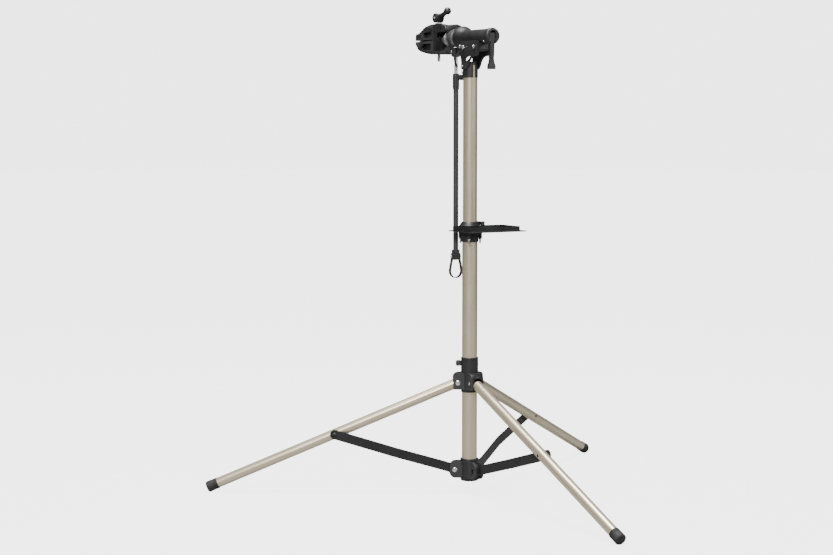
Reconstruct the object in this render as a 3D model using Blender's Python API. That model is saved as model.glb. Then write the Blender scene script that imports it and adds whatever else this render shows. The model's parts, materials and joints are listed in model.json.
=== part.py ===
"""Bike repair stand: folding tripod, telescopic mast, swivelling jaw clamp, stabiliser rod and tool tray.

Units are metres, +Z is up and +X is the way the clamp reaches.  The origin is on the floor, at the
centre of the footprint's box.  The mast's axis stands at x = MAST_X.
"""

from math import atan2, cos, pi, radians, sin, sqrt, tau

import bmesh
import bpy
from mathutils import Matrix

MM = 0.001
GAP = 0.3 * MM
FINE = 32
MEDIUM = 24
COARSE = 12
MERGE = 0.001 * MM
BOLT_HOLE = 3.3 * MM
SCREW_HOLE = 2.8 * MM

# Mast
OUTER_TUBE_R = 19.0 * MM
INNER_TUBE_R = 17.6 * MM
TUBE_WALL = 1.2 * MM
OUTER_TUBE_Z = (50.0 * MM, 630.0 * MM)
INNER_TUBE_Z = (450.0 * MM, 1064.0 * MM)
SLIDE_R = OUTER_TUBE_R + GAP

# Tripod linkage, in the vertical plane of each leg
SPOKES = {"F": radians(180), "L": radians(60), "R": radians(-60)}
LEG_PIVOT_R = 28.6 * MM
LEG_PIVOT_Z = 278.5 * MM
LEG_SLOPE = radians(23.07)
LEG_LENGTH = 682.4 * MM
LEG_R = 12.5 * MM
STRUT_PIVOT_R = 36.4 * MM
STRUT_PIVOT_Z = 60.0 * MM
STRUT_ON_LEG = 333.2 * MM
STRUT_WIDTH = 23.5 * MM
STRUT_THICKNESS = 4.0 * MM
STRUT_BEND = (30.0 * MM, 150.0 * MM)
CAP_R = 14.0 * MM
CAP_LENGTH = 29.5 * MM
CAP_ROUND = 2.5 * MM

# Head
ARM_Z = 1129.5 * MM
DRUM_R = 21.0 * MM
JAW_PIVOT = (104.0 * MM, 1155.0 * MM)
SPINDLE_X = 156.0 * MM
CAM_Z = 1184.0 * MM
LEVER_PIVOT = (-100.0 * MM, 1134.0 * MM)
SPLIT_Z = 1127.7 * MM

# Stabiliser rod
ROD_X = 70.0 * MM

BLACK = (0.045, 0.045, 0.047)
RUBBER = (0.02, 0.02, 0.02)
CHAMPAGNE = (0.62, 0.57, 0.48)
SILVER = (0.75, 0.75, 0.76)


def foot_reach(azimuth):
    """How far a foot cap reaches along +X, from the mast's axis, for a leg at this azimuth."""
    along = cos(LEG_SLOPE) * cos(azimuth)
    end = LEG_PIVOT_R + LEG_LENGTH * cos(LEG_SLOPE)
    centre = end * cos(azimuth) - CAP_ROUND * along
    return centre + (CAP_R - CAP_ROUND) * sqrt(1.0 - along * along) + CAP_ROUND


MAST_X = (foot_reach(0.0) - foot_reach(SPOKES["L"])) / 2.0


# ---------------------------------------------------------------- helpers

def mm(points):
    """Points, or (radius, low, high) lengths, from millimetres to metres."""
    return [tuple(value * MM for value in point) for point in points]


def span(low, high):
    return (low * MM, high * MM)


def material(name, colour, roughness, metallic):
    result = bpy.data.materials.new(name)
    result.use_nodes = True
    shader = result.node_tree.nodes["Principled BSDF"]
    shader.inputs["Base Color"].default_value = (*colour, 1.0)
    shader.inputs["Roughness"].default_value = roughness
    shader.inputs["Metallic"].default_value = metallic
    return result


FINISHES = {
    "plastic": (BLACK, 0.5, 0.0),
    "rubber": (RUBBER, 0.8, 0.0),
    "tube": (CHAMPAGNE, 0.35, 0.8),
    "steel": (SILVER, 0.25, 1.0),
    "black_steel": (BLACK, 0.4, 0.6),
}


def empty(name, location=(0.0, 0.0, 0.0), rotation=(0.0, 0.0, 0.0), parent=None):
    result = bpy.data.objects.new(name, None)
    bpy.context.collection.objects.link(result)
    result.location = location
    result.rotation_euler = rotation
    result.parent = parent
    return result


def finish(name, bm, finish_name, parent):
    """Turn a bmesh into a named object with its own material, on its parent's origin."""
    mesh = bpy.data.meshes.new(name)
    bm.to_mesh(mesh)
    bm.free()
    mesh.shade_smooth()
    mesh.set_sharp_from_angle(angle=radians(35))
    result = bpy.data.objects.new(name, mesh)
    result.data.materials.append(material(name, *FINISHES[finish_name]))
    bpy.context.collection.objects.link(result)
    result.parent = parent
    return result


def outward(bm):
    """Make one closed body's faces point out of it."""
    bmesh.ops.recalc_face_normals(bm, faces=bm.faces)
    if bm.calc_volume(signed=True) < 0.0:
        bmesh.ops.reverse_faces(bm, faces=bm.faces)
    return bm


def turn_to(bm, axis, centre):
    """Turn a shape made along Z so that it lies along another axis, then move it."""
    turns = {"Z": Matrix(), "X": Matrix.Rotation(pi / 2, 4, "Y"), "Y": Matrix.Rotation(-pi / 2, 4, "X")}
    bm.transform(Matrix.Translation(centre) @ turns[axis])
    return bm


def turned(profile, steps=MEDIUM, closed=False, axis="Z", centre=(0.0, 0.0, 0.0)):
    """A profile of (radius, height) spun about an axis; a closed one makes a ring."""
    bm = bmesh.new()
    verts = [bm.verts.new((radius, 0.0, height)) for radius, height in profile]
    edges = [bm.edges.new(pair) for pair in zip(verts, verts[1:])]
    if closed:
        edges.append(bm.edges.new((verts[-1], verts[0])))
    bmesh.ops.spin(bm, geom=verts + edges, axis=(0, 0, 1), cent=(0, 0, 0), steps=steps, angle=tau)
    bmesh.ops.remove_doubles(bm, verts=bm.verts, dist=MERGE)
    return turn_to(outward(bm), axis, centre)


def tube(outer, inner, low, high, steps=MEDIUM, axis="Z", centre=(0.0, 0.0, 0.0)):
    profile = [(outer, low), (outer, high), (inner, high), (inner, low)]
    return turned(profile, steps, True, axis, centre)


def rod(radius, low, high, steps=MEDIUM, axis="Z", centre=(0.0, 0.0, 0.0)):
    profile = [(0.0, low), (radius, low), (radius, high), (0.0, high)]
    return turned(profile, steps, False, axis, centre)


def stepped(steps_list, steps=MEDIUM, axis="Z", centre=(0.0, 0.0, 0.0)):
    """A solid shaft from (radius, low, high) lengths that follow each other."""
    profile = [(0.0, steps_list[0][1])]
    for radius, low, high in steps_list:
        profile += [(radius, low), (radius, high)]
    profile.append((0.0, steps_list[-1][2]))
    return turned(profile, steps, False, axis, centre)


def prism(outline, low, high, across="Y"):
    """An outline of (x, z) points swept along Y, or of (x, y) points swept along Z."""
    bm = bmesh.new()
    if across == "Y":
        verts = [bm.verts.new((a, low, b)) for a, b in outline]
        sweep = (0.0, high - low, 0.0)
    else:
        verts = [bm.verts.new((a, b, low)) for a, b in outline]
        sweep = (0.0, 0.0, high - low)
    face = bm.faces.new(verts)
    grown = bmesh.ops.extrude_face_region(bm, geom=[face])
    moved = [item for item in grown["geom"] if isinstance(item, bmesh.types.BMVert)]
    bmesh.ops.translate(bm, vec=sweep, verts=moved)
    return outward(bm)


def block(x, y, z):
    """A box from its (low, high) along each axis."""
    return prism([(x[0], z[0]), (x[1], z[0]), (x[1], z[1]), (x[0], z[1])], y[0], y[1])


def arc(cx, cz, radius, start, stop, count=6):
    """Points along an arc; angles in degrees, from +X towards +Z."""
    angles = [radians(start + (stop - start) * k / count) for k in range(count + 1)]
    return [(cx + radius * cos(a), cz + radius * sin(a)) for a in angles]


def rounded_box_outline(x, z, radius, count=4):
    corners = [(x[1] - radius, z[1] - radius, 0), (x[0] + radius, z[1] - radius, 90),
               (x[0] + radius, z[0] + radius, 180), (x[1] - radius, z[0] + radius, 270)]
    points = []
    for cx, cz, start in corners:
        points += arc(cx, cz, radius, start, start + 90, count)
    return points


def joined(*shapes):
    """Several bmeshes as one, still separate bodies."""
    whole = shapes[0]
    for shape in shapes[1:]:
        carrier = bpy.data.meshes.new("carrier")
        shape.to_mesh(carrier)
        shape.free()
        whole.from_mesh(carrier)
        bpy.data.meshes.remove(carrier)
    return whole


def spun(shape_maker, angles):
    """The same shape made once for each angle about Z, joined."""
    shapes = []
    for angle in angles:
        shape = shape_maker()
        shape.transform(Matrix.Rotation(angle, 4, "Z"))
        shapes.append(shape)
    return joined(*shapes)


def boolean(target, bm, operation):
    """Add to, or cut from, an object with a hidden tool shape on the same origin."""
    name = f"{target.name}_{operation.lower()}{len(target.modifiers)}"
    tool = finish(name, bm, "plastic", target.parent)
    tool.hide_render = True
    tool.display_type = "WIRE"
    modifier = target.modifiers.new(operation.title(), "BOOLEAN")
    modifier.operation = operation
    modifier.object = tool
    modifier.solver = "EXACT"
    return target


def add(target, bm):
    return boolean(target, bm, "UNION")


def cut(target, bm):
    return boolean(target, bm, "DIFFERENCE")


def strip(path, width, thickness):
    """A flat strap: (y, z) points along its middle, width along X, thickness across the path."""
    bm = bmesh.new()
    rings = []
    for k, (y, z) in enumerate(path):
        before = path[max(k - 1, 0)]
        after = path[min(k + 1, len(path) - 1)]
        run_y = after[0] - before[0]
        run_z = after[1] - before[1]
        length = sqrt(run_y * run_y + run_z * run_z)
        side_y = -run_z / length * thickness / 2
        side_z = run_y / length * thickness / 2
        corners = [(width[0], y + side_y, z + side_z), (width[1], y + side_y, z + side_z),
                   (width[1], y - side_y, z - side_z), (width[0], y - side_y, z - side_z)]
        rings.append([bm.verts.new(corner) for corner in corners])
    for ring, following in zip(rings, rings[1:]):
        for k in range(4):
            bm.faces.new((ring[k], ring[(k + 1) % 4], following[(k + 1) % 4], following[k]))
    bm.faces.new(rings[0])
    bm.faces.new(rings[-1])
    return outward(bm)


def arc_band(radius, thickness, start, stop, low, high, count=10):
    """A bar bent round Z, with square ends; angles in degrees."""
    outline = arc(0.0, 0.0, radius + thickness, start, stop, count)
    outline += arc(0.0, 0.0, radius, stop, start, count)
    return prism(outline, low, high, "Z")


# ---------------------------------------------------------------- mast and lower hub

def make_mast(stand):
    low, high = OUTER_TUBE_Z
    finish("outer_tube", tube(OUTER_TUBE_R, OUTER_TUBE_R - TUBE_WALL, low, high, FINE), "tube", stand)

    collar = mm([(0, 32), (21.5, 32), (23, 41.5), (23, 86.5), (21.5, 88)])
    collar += [(SLIDE_R, 88 * MM), (SLIDE_R, low - GAP), (0.0, low - GAP)]
    hub = finish("lower_hub", turned(collar, FINE), "plastic", stand)
    lug = mm([(20, 39.5)] + arc(36.5, 53, 13.5, -90, 0) + arc(36.5, 67.5, 13.5, 0, 90) + [(20, 81)])
    angles = SPOKES.values()
    add(hub, spun(lambda: prism(lug, -12 * MM, 12 * MM), angles))
    half_slot = STRUT_THICKNESS / 2 + GAP
    cut(hub, spun(lambda: block(span(24.3, 70), (-half_slot, half_slot), span(30, 95)), angles))
    pivot = (STRUT_PIVOT_R, 0.0, STRUT_PIVOT_Z)
    cut(hub, spun(lambda: stepped(mm([(4.4, -13, -9), (3.3, -9, 13)]), COARSE, "Y", pivot), angles))
    for name, azimuth in SPOKES.items():
        spoke = empty("spoke_" + name, rotation=(0, 0, azimuth), parent=stand)
        bolt = stepped(mm([(3.0, -8.6, 12.3), (5.2, 12.3, 15.4)]), COARSE, "Y", pivot)
        finish("strut_bolt_" + name, bolt, "steel", spoke)


# ---------------------------------------------------------------- legs and struts

def make_leg(name, azimuth, stand):
    pivot = (LEG_PIVOT_R * cos(azimuth), LEG_PIVOT_R * sin(azimuth), LEG_PIVOT_Z)
    axis = empty("leg_axis_" + name, pivot, (0, LEG_SLOPE, azimuth), stand)
    inside = LEG_R - TUBE_WALL
    end = LEG_LENGTH - 3 * MM
    profile = [(0.0, 6 * MM), (LEG_R - 2 * MM, 6 * MM), (LEG_R, 8 * MM), (LEG_R, end), (inside, end),
               (inside, 9 * MM), (0.0, 9 * MM)]
    leg = finish("leg_" + name, turned(profile, MEDIUM, False, "X"), "tube", axis)
    eye = mm(arc(0, 0, 6, 90, 270, 8) + [(8, -6), (8, 6)])
    add(leg, prism(eye, -9 * MM, 9 * MM))
    cut(leg, rod(BOLT_HOLE, -14 * MM, 14 * MM, COARSE, "Y"))

    start = LEG_LENGTH - CAP_LENGTH
    bore = LEG_R + GAP
    profile = [(bore, start), (CAP_R - 0.6 * MM, start), (CAP_R, start + 0.6 * MM)]
    round_x = LEG_LENGTH - CAP_ROUND
    profile += [(r, x) for x, r in arc(round_x, CAP_R - CAP_ROUND, CAP_ROUND, 90, 0, 3)]
    profile += [(0.0, LEG_LENGTH), (0.0, end + GAP), (bore, end + GAP)]
    cap = finish("foot_cap_" + name, cap_shape(profile), "rubber", axis)
    cut(cap, floor_cutter())


def cap_shape(profile):
    """The foot cap: a cup turned about X whose profile starts and ends at its bore."""
    bm = bmesh.new()
    verts = [bm.verts.new((r, 0.0, x)) for r, x in profile]
    edges = [bm.edges.new(pair) for pair in zip(verts, verts[1:])]
    edges = [edge for edge in edges if not all(abs(v.co.x) < MERGE for v in edge.verts)]
    edges.append(bm.edges.new((verts[-1], verts[0])))
    bmesh.ops.spin(bm, geom=verts + edges, axis=(0, 0, 1), cent=(0, 0, 0), steps=MEDIUM, angle=tau)
    bmesh.ops.remove_doubles(bm, verts=bm.verts, dist=MERGE)
    return turn_to(outward(bm), "X", (0.0, 0.0, 0.0))


def floor_cutter():
    """A slab below the floor, in the leg's own frame, that gives the cap its flat."""
    slab = block((500 * MM, 800 * MM), (-40 * MM, 40 * MM), (-60 * MM, 0.0))
    slab.transform(Matrix.Translation((0.0, 0.0, -LEG_PIVOT_Z)))
    slab.transform(Matrix.Rotation(-LEG_SLOPE, 4, "Y"))
    return slab


def make_strut(name, azimuth, stand):
    pivot = (STRUT_PIVOT_R * cos(azimuth), STRUT_PIVOT_R * sin(azimuth), STRUT_PIVOT_Z)
    rise = LEG_PIVOT_Z - STRUT_ON_LEG * sin(LEG_SLOPE) - STRUT_PIVOT_Z
    run = LEG_PIVOT_R + STRUT_ON_LEG * cos(LEG_SLOPE) - STRUT_PIVOT_R
    length = sqrt(rise * rise + run * run)
    axis = empty("strut_axis_" + name, pivot, (0, -atan2(rise, run), azimuth), stand)
    half = STRUT_WIDTH / 2
    thick = STRUT_THICKNESS / 2
    offset = LEG_R + 0.8 * MM + thick
    bend = STRUT_BEND
    side = [(-half, -thick), (bend[0], -thick), (bend[1], offset - thick), (length + half, offset - thick),
            (length + half, offset + thick), (bend[1], offset + thick), (bend[0], thick), (-half, thick)]
    strut = finish("strut_" + name, prism(side, -half, half, "Z"), "black_steel", axis)
    outline = arc(0, 0, half, 90, 270, 10) + arc(length, 0, half, -90, 90, 10)
    boolean(strut, prism(outline, -10 * MM, 30 * MM), "INTERSECT")
    cut(strut, joined(rod(BOLT_HOLE, -6 * MM, 6 * MM, COARSE, "Y"),
                      rod(BOLT_HOLE, 8 * MM, 24 * MM, COARSE, "Y", (length, 0.0, 0.0))))
    face = offset + thick
    lengths = [(3.0 * MM, LEG_R + GAP, face + GAP), (5.0 * MM, face + GAP, face + 3 * MM)]
    rivet = stepped(lengths, COARSE, "Y", (length, 0.0, 0.0))
    finish("strut_rivet_" + name, rivet, "black_steel", axis)


# ---------------------------------------------------------------- upper hub

def make_upper_hub(stand):
    hub_frame = empty("hub_slide_axis", (0.0, 0.0, LEG_PIVOT_Z), parent=stand)
    low = -23.5 * MM
    high = 62.9 * MM
    profile = [(SLIDE_R, low), (21.0 * MM, low), (21.6 * MM, low + 0.8 * MM), (21.6 * MM, high - 0.8 * MM),
               (21.0 * MM, high), (SLIDE_R, high)]
    hub = finish("upper_hub", turned(profile, FINE, True), "plastic", hub_frame)
    box = mm([(20.2, -16.5), (42.5, -16.5)] + arc(33.5, 15.5, 9, 0, 90) + [(20.2, 24.5)])
    angles = SPOKES.values()
    add(hub, spun(lambda: prism(box, -17 * MM, 17 * MM), angles))
    slot = [(22.1 * MM, 60 * MM), (-13 * MM, 13 * MM), (-30 * MM, 13.6 * MM)]
    cut(hub, spun(lambda: block(*slot), angles))
    cut(hub, rod(SLIDE_R, low - MM, high + MM, FINE))
    cut(hub, spun(lambda: rod(BOLT_HOLE, -20 * MM, 20 * MM, COARSE, "Y", (LEG_PIVOT_R, 0.0, 0.0)), angles))
    ear = mm(rounded_box_outline((20.9, 34.4), (41.5, 54.5), 4, 3))
    ears = joined(prism(ear, 1.6 * MM, 6.6 * MM), prism(ear, -6.6 * MM, -1.6 * MM))
    ears.transform(Matrix.Rotation(SPOKES["L"], 4, "Z"))
    add(hub, ears)
    lock_hole = rod(SCREW_HOLE, -8 * MM, 8 * MM, COARSE, "Y", (27.5 * MM, 0.0, 48 * MM))
    lock_hole.transform(Matrix.Rotation(SPOKES["L"], 4, "Z"))
    cut(hub, lock_hole)

    for name, azimuth in SPOKES.items():
        spoke = empty("hub_spoke_" + name, (0.0, 0.0, LEG_PIVOT_Z), (0, 0, azimuth), stand)
        lengths = mm([(3.8, -20.4, -17.3), (3.0, -17.3, 17.3), (5.2, 17.3, 20.4)])
        finish("leg_bolt_" + name, stepped(lengths, COARSE, "Y", (LEG_PIVOT_R, 0.0, 0.0)), "steel", spoke)

    lock = empty("hub_lock_frame", (0.0, 0.0, LEG_PIVOT_Z), (0, 0, SPOKES["L"]), stand)
    lengths = mm([(2.5, -11.1, 6.9), (4.6, 6.9, 11.0)])
    finish("lock_bolt", stepped(lengths, COARSE, "Y", (27.5 * MM, 0.0, 48 * MM)), "steel", lock)
    make_band_lever("hub_lever", stand, (27.5, -16.5), 48 * MM + LEG_PIVOT_Z, SPOKES["L"], 24.5, 100)


def make_band_lever(name, stand, pivot, height, azimuth, inner_r, sweep):
    """A quick lever that wraps the mast; its pivot is given in mm in the plane of its bolt."""
    turn = Matrix.Rotation(azimuth, 4, "Z")
    centre = turn @ Matrix.Translation((pivot[0] * MM, pivot[1] * MM, height)).to_translation()
    axis = empty(name + "_axis", centre, (0, 0, azimuth), stand)
    start = -atan2(-pivot[1], pivot[0]) * 180 / pi
    band = arc_band(inner_r * MM, 5 * MM, start - 4, start - sweep, -4.5 * MM, 4.5 * MM, 12)
    band.transform(Matrix.Translation((-pivot[0] * MM, -pivot[1] * MM, 0.0)))
    lever = finish(name, band, "plastic", axis)
    add(lever, rod(5.0 * MM, -4.9 * MM, 4.9 * MM, 20))


# ---------------------------------------------------------------- mast clamp and tray

EARS = (radians(25), radians(145), radians(265))
EAR_R = 28.0 * MM


def make_mast_clamp(stand):
    profile = mm([(20.2, 628.5), (21.3, 630), (21.3, 666.6)])
    inner = INNER_TUBE_R + GAP
    profile += [(inner, 666.6 * MM), (inner, 630.4 * MM), (SLIDE_R, 630.4 * MM), (SLIDE_R, 628.5 * MM)]
    clamp = finish("mast_clamp", turned(profile, FINE, True), "plastic", stand)
    add(clamp, spun(lambda: rod(5 * MM, 637 * MM, 652.6 * MM, 16, "Z", (EAR_R, 0, 0)), EARS))
    web = [(20.5 * MM, 27 * MM), (-3 * MM, 3 * MM), (640 * MM, 651 * MM)]
    add(clamp, spun(lambda: block(*web), EARS))
    cut(clamp, rod(inner, 625 * MM, 670 * MM, FINE))
    cut(clamp, rod(SLIDE_R, 620 * MM, 630.4 * MM, FINE))
    cut(clamp, spun(lambda: rod(SCREW_HOLE, 630 * MM, 660 * MM, COARSE, "Z", (EAR_R, 0, 0)), EARS))
    for k, angle in enumerate(EARS):
        centre = (EAR_R * cos(angle), EAR_R * sin(angle), 0.0)
        lengths = mm([(2.5, 624, 655.4), (4.2, 655.4, 658.2)])
        finish("tray_screw_" + "ABC"[k], stepped(lengths, COARSE, "Z", centre), "steel", stand)

    ring = mm([(26.4, 667), (26.4, 669), (19.8, 678)])
    ring += [(inner, 678 * MM), (inner, 667 * MM)]
    ring_part = finish("clamp_ring", turned(ring, FINE, True), "plastic", stand)
    split = block(span(10, 32), (-1.5 * MM, 1.5 * MM), span(660, 690))
    split.transform(Matrix.Rotation(radians(236), 4, "Z"))
    cut(ring_part, split)
    make_band_lever("clamp_lever", stand, (32.0, 0.0), 673.8 * MM, radians(248), 28.0, -95)

    tray = finish("tray", prism(rounded_box_outline(span(-57, 57), span(-133, 31), 8 * MM),
                                653 * MM, 655 * MM, "Z"), "black_steel", stand)
    wall = prism(rounded_box_outline(span(-44, 44), span(-120, 25.5), 5 * MM), 654 * MM, 665.8 * MM, "Z")
    add(tray, wall)
    cut(tray, prism(rounded_box_outline(span(-42.2, 42.2), span(-118.2, 23.7), 3.2 * MM),
                    655 * MM, 670 * MM, "Z"))
    cut(tray, rod(21.6 * MM, 640 * MM, 660 * MM, FINE))
    cut(tray, spun(lambda: rod(SCREW_HOLE, 640 * MM, 660 * MM, COARSE, "Z", (EAR_R, 0, 0)), EARS))
    tool_holes = [rod(3 * MM, 650 * MM, 658 * MM, 12, "Z", (side * 50.5 * MM, y * MM, 0))
                  for side in (-1, 1) for y in (-100, -75, -50, -25)]
    cut(tray, joined(*tool_holes))


# ---------------------------------------------------------------- inner mast, bracket and arm

FLARE = [(18.25, -92), (18.25, 0), (19.2, 8), (21.5, 15), (24.6, 21), (27.4, 27), (28.8, 31), (28.8, 39.5)]
BOLT_X = (1.0, -50.0)
BOLT_Z = 1105.0


def make_inner_mast(stand):
    frame = empty("mast_slide_axis", parent=stand)
    low, high = INNER_TUBE_Z
    shape = tube(INNER_TUBE_R, INNER_TUBE_R - TUBE_WALL, low, high, FINE)
    groove = [v for v in shape.verts if v.co.x < 0 and abs(v.co.y) < 0.1 * MM]
    bmesh.ops.translate(shape, vec=(1.1 * MM, 0.0, 0.0), verts=groove)
    finish("inner_tube", shape, "tube", frame)

    sleeve_in = INNER_TUBE_R + 0.2 * MM
    sleeve = [(19.0 * MM, 1032 * MM), (19.0 * MM, 1070 * MM), (0.0, 1070 * MM), (0.0, high + GAP),
              (sleeve_in, high + GAP), (sleeve_in, 1032 * MM)]
    bracket = finish("neck_bracket", ring_cup(sleeve), "plastic", frame)
    arm = mm([(15, 1121), (-67, 1121), (-67, 1092), (-64, 1087)] + arc(-49, 1052, 31, 98, 18, 8)
             + [(-12, 1052), (12, 1052), (12, 1070), (15, 1082)])
    add(bracket, joined(prism(arm, 14 * MM, 19.4 * MM), prism(arm, -19.4 * MM, -14 * MM)))
    saddle = [(-14.5, 1062), (14.5, 1062), (14.5, 1082)] + arc(0, 1084, 14.2, -8, -172, 10) + [(-14.5, 1082)]
    valley = prism(mm(saddle), -14.5 * MM, 14.5 * MM)
    valley.transform(Matrix.Rotation(pi / 2, 4, "Z"))
    add(bracket, valley)
    seat = [(radius * MM + GAP, x * MM) for radius, x in FLARE]
    cut(bracket, turned([(0.0, seat[0][1])] + seat + [(0.0, seat[-1][1])], FINE, False, "X", (0, 0, ARM_Z)))
    cut(bracket, block(span(-40, 0), (-2.5 * MM, 2.5 * MM), span(1025, 1063)))
    cut(bracket, rod(sleeve_in, 1050 * MM, high + GAP, FINE))
    cut(bracket, arm_bolt_holes())

    screw = stepped(mm([(4.5, 19.3, 23.8)]), COARSE, "X")
    screw.transform(Matrix.Translation((0, 0, 1045 * MM)) @ Matrix.Rotation(radians(70), 4, "Z"))
    finish("neck_screw", screw, "steel", frame)

    for name, x in zip(("front", "rear"), BOLT_X):
        lengths = mm([(4.6, -23.6, -20.3), (3.0, -20.3, 20.3), (4.6, 20.3, 23.4)])
        finish("arm_bolt_" + name, stepped(lengths, COARSE, "Y", (x * MM, 0, BOLT_Z * MM)), "steel", frame)

    shell = FLARE + [(27.6, 41), (12.0, 41), (12.0, -60), (8.0, -60), (8.0, -92)]
    barrel = finish("arm_barrel", turned(mm(shell), FINE, True, "X", (0, 0, ARM_Z)), "plastic", frame)
    lug = rounded_box_outline(span(-66, 14), span(1094, 1122), 6 * MM)
    add(barrel, prism(lug, -13.6 * MM, 13.6 * MM))
    cut(barrel, rod(12.0 * MM, -60 * MM, 60 * MM, MEDIUM, "X", (0, 0, ARM_Z)))
    cut(barrel, arm_bolt_holes())

    end = [(4.0, -92.3), (19.3, -92.3), (19.8, -94), (19.8, -104), (18.6, -107.5), (15.0, -109), (4.0, -109)]
    cap = finish("arm_end_cap", turned(mm(end), FINE, True, "X", (0, 0, ARM_Z)), "plastic", frame)
    cut(cap, block(span(-120, -93.4), (-7 * MM, 7 * MM), span(1090, 1142)))
    cut(cap, rod(SCREW_HOLE, -14 * MM, 14 * MM, COARSE, "Y", (LEVER_PIVOT[0], 0, LEVER_PIVOT[1])))
    washer = tube(24 * MM, 12 * MM, 41.3 * MM, 44.6 * MM, 40, "X", (0, 0, ARM_Z))
    finish("friction_washer", washer, "rubber", frame)


def arm_bolt_holes():
    return joined(*[rod(BOLT_HOLE, -30 * MM, 30 * MM, COARSE, "Y", (x * MM, 0, BOLT_Z * MM)) for x in BOLT_X])


def ring_cup(profile):
    """A turned cup whose closed profile touches the axis along one edge."""
    bm = bmesh.new()
    verts = [bm.verts.new((radius, 0.0, height)) for radius, height in profile]
    pairs = list(zip(verts, verts[1:])) + [(verts[-1], verts[0])]
    edges = [bm.edges.new(pair) for pair in pairs if pair[0].co.x + pair[1].co.x > MERGE]
    bmesh.ops.spin(bm, geom=verts + edges, axis=(0, 0, 1), cent=(0, 0, 0), steps=FINE, angle=tau)
    bmesh.ops.remove_doubles(bm, verts=bm.verts, dist=MERGE)
    return outward(bm)


def make_arm_lever(stand):
    axis = empty("arm_lever_axis", (LEVER_PIVOT[0], 0.0, LEVER_PIVOT[1]), parent=stand)
    outline = mm(arc(0, 0, 5.6, 0, 180, 8) + [(-4.6, -30), (-4.2, -62), (-5.2, -74), (-5.2, -83), (-4.2, -84)]
                 + [(4.2, -84), (5.2, -83), (5.2, -74), (4.2, -62), (4.6, -30)])
    lever = finish("arm_lever", prism(outline, -10.5 * MM, 10.5 * MM), "plastic", axis)
    width = [(-6.3, 8), (-6.3, -30), (-5.2, -60), (-6.4, -68), (-9.4, -76), (-9.4, -83), (-8.0, -86)]
    mirrored = [(-y, z) for y, z in reversed(width)]
    side = prism(mm(width + mirrored), -10 * MM, 10 * MM)
    side.transform(Matrix.Rotation(pi / 2, 4, "Z"))
    boolean(lever, side, "INTERSECT")
    cut(lever, rod(SCREW_HOLE, -14 * MM, 14 * MM, COARSE, "Y"))
    pin_frame = empty("lever_pin_frame", (LEVER_PIVOT[0], 0.0, LEVER_PIVOT[1]), parent=stand)
    finish("lever_pin", rod(2.5 * MM, -12.5 * MM, 12.5 * MM, COARSE, "Y"), "steel", pin_frame)


# ---------------------------------------------------------------- clamp

JAW_HALF = 25.0 * MM
JAW_INSIDE = 20.6 * MM
CAM_LEVER_RISE = radians(20)
BALL_R = 9.4 * MM
BALL_REACH = 45.8 * MM


def on_arm(points):
    """(x, z) outline points in millimetres, as metres from the arm's axis."""
    return [(x * MM, z * MM - ARM_Z) for x, z in points]


def side_pockets(outline, depth):
    """Cutters for the hollow on each side of a jaw."""
    near = prism(on_arm(outline), -JAW_HALF - 2 * MM, -JAW_HALF + depth)
    far = prism(on_arm(outline), JAW_HALF - depth, JAW_HALF + 2 * MM)
    return joined(near, far)


def make_drum(stand):
    arm = (0.0, 0.0, ARM_Z)
    rod_frame = empty("draw_rod_frame", arm, parent=stand)
    lengths = mm([(3.0, -91, 62.3), (7.5, 62.3, 68)])
    finish("draw_rod", stepped(lengths, 16, "X"), "steel", rod_frame)
    frame = empty("clamp_turn_axis", arm, parent=stand)
    profile = mm([(4.5, -35), (11.6, -35), (11.6, 45), (21, 45), (21, 97), (19.5, 99.5), (11, 121), (9, 121),
                  (9, 62), (4.5, 62)])
    finish("clamp_shaft", turned(profile, FINE, True, "X"), "steel", frame)
    return frame


def make_lower_jaw(frame):
    """The fixed jaw: a floor under the drum, a rib on each side and the lower half of the claw."""
    low = [(78, 1096), (83, 1092.5), (150, 1092.5), (172, 1094.5), (204, 1100.5), (219, 1105.5), (233, 1120),
           (233, 1126.4), (231, 1126.4), (212, 1115.4), (193, 1126.4), (145.4, 1126.4), (145.4, 1134),
           (121.4, 1134), (121.4, 1098.5), (78, 1098.5)]
    jaw = finish("lower_jaw", prism(on_arm(low), -JAW_HALF, JAW_HALF), "plastic", frame)
    cheek = [(129, 1100), (145.4, 1100), (145.4, 1158)] + arc(136.4, 1158, 9, 0, 90, 4)
    cheek += arc(106, 1155, 12, 90, 200, 6) + [(112, 1147), (129, 1144)]
    cheeks = [prism(on_arm(cheek), JAW_INSIDE, JAW_HALF), prism(on_arm(cheek), -JAW_HALF, -JAW_INSIDE)]
    add(jaw, joined(*cheeks))
    pin = (JAW_PIVOT[0], 0.0, JAW_PIVOT[1] - ARM_Z)
    cut(jaw, rod(BOLT_HOLE, -30 * MM, 30 * MM, COARSE, "Y", pin))
    cut(jaw, rod(4.4 * MM, -60 * MM, 20 * MM, 16, "Z", (SPINDLE_X, 0, 0)))
    cut(jaw, side_pockets([(154, 1103), (196, 1106), (202, 1112), (193, 1120), (154, 1120)], 7 * MM))
    finish("lower_pad", jaw_pad(-1), "rubber", frame)
    finish("jaw_pin", rod(3.0 * MM, -24.8 * MM, 24.8 * MM, COARSE, "Y", pin), "black_steel", frame)


def jaw_pad(direction):
    """The rubber in one jaw's notch; direction is 1 for the upper jaw and -1 for the lower."""
    base = SPLIT_Z / MM + direction * 1.2
    outer = base + direction * 10.7
    inner = base + direction * 7.4
    notch = [(193.5, base), (212, outer), (230.5, base), (228, base), (212, inner), (196, base)]
    return prism(on_arm(notch), -24.5 * MM, 24.5 * MM)


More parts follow.
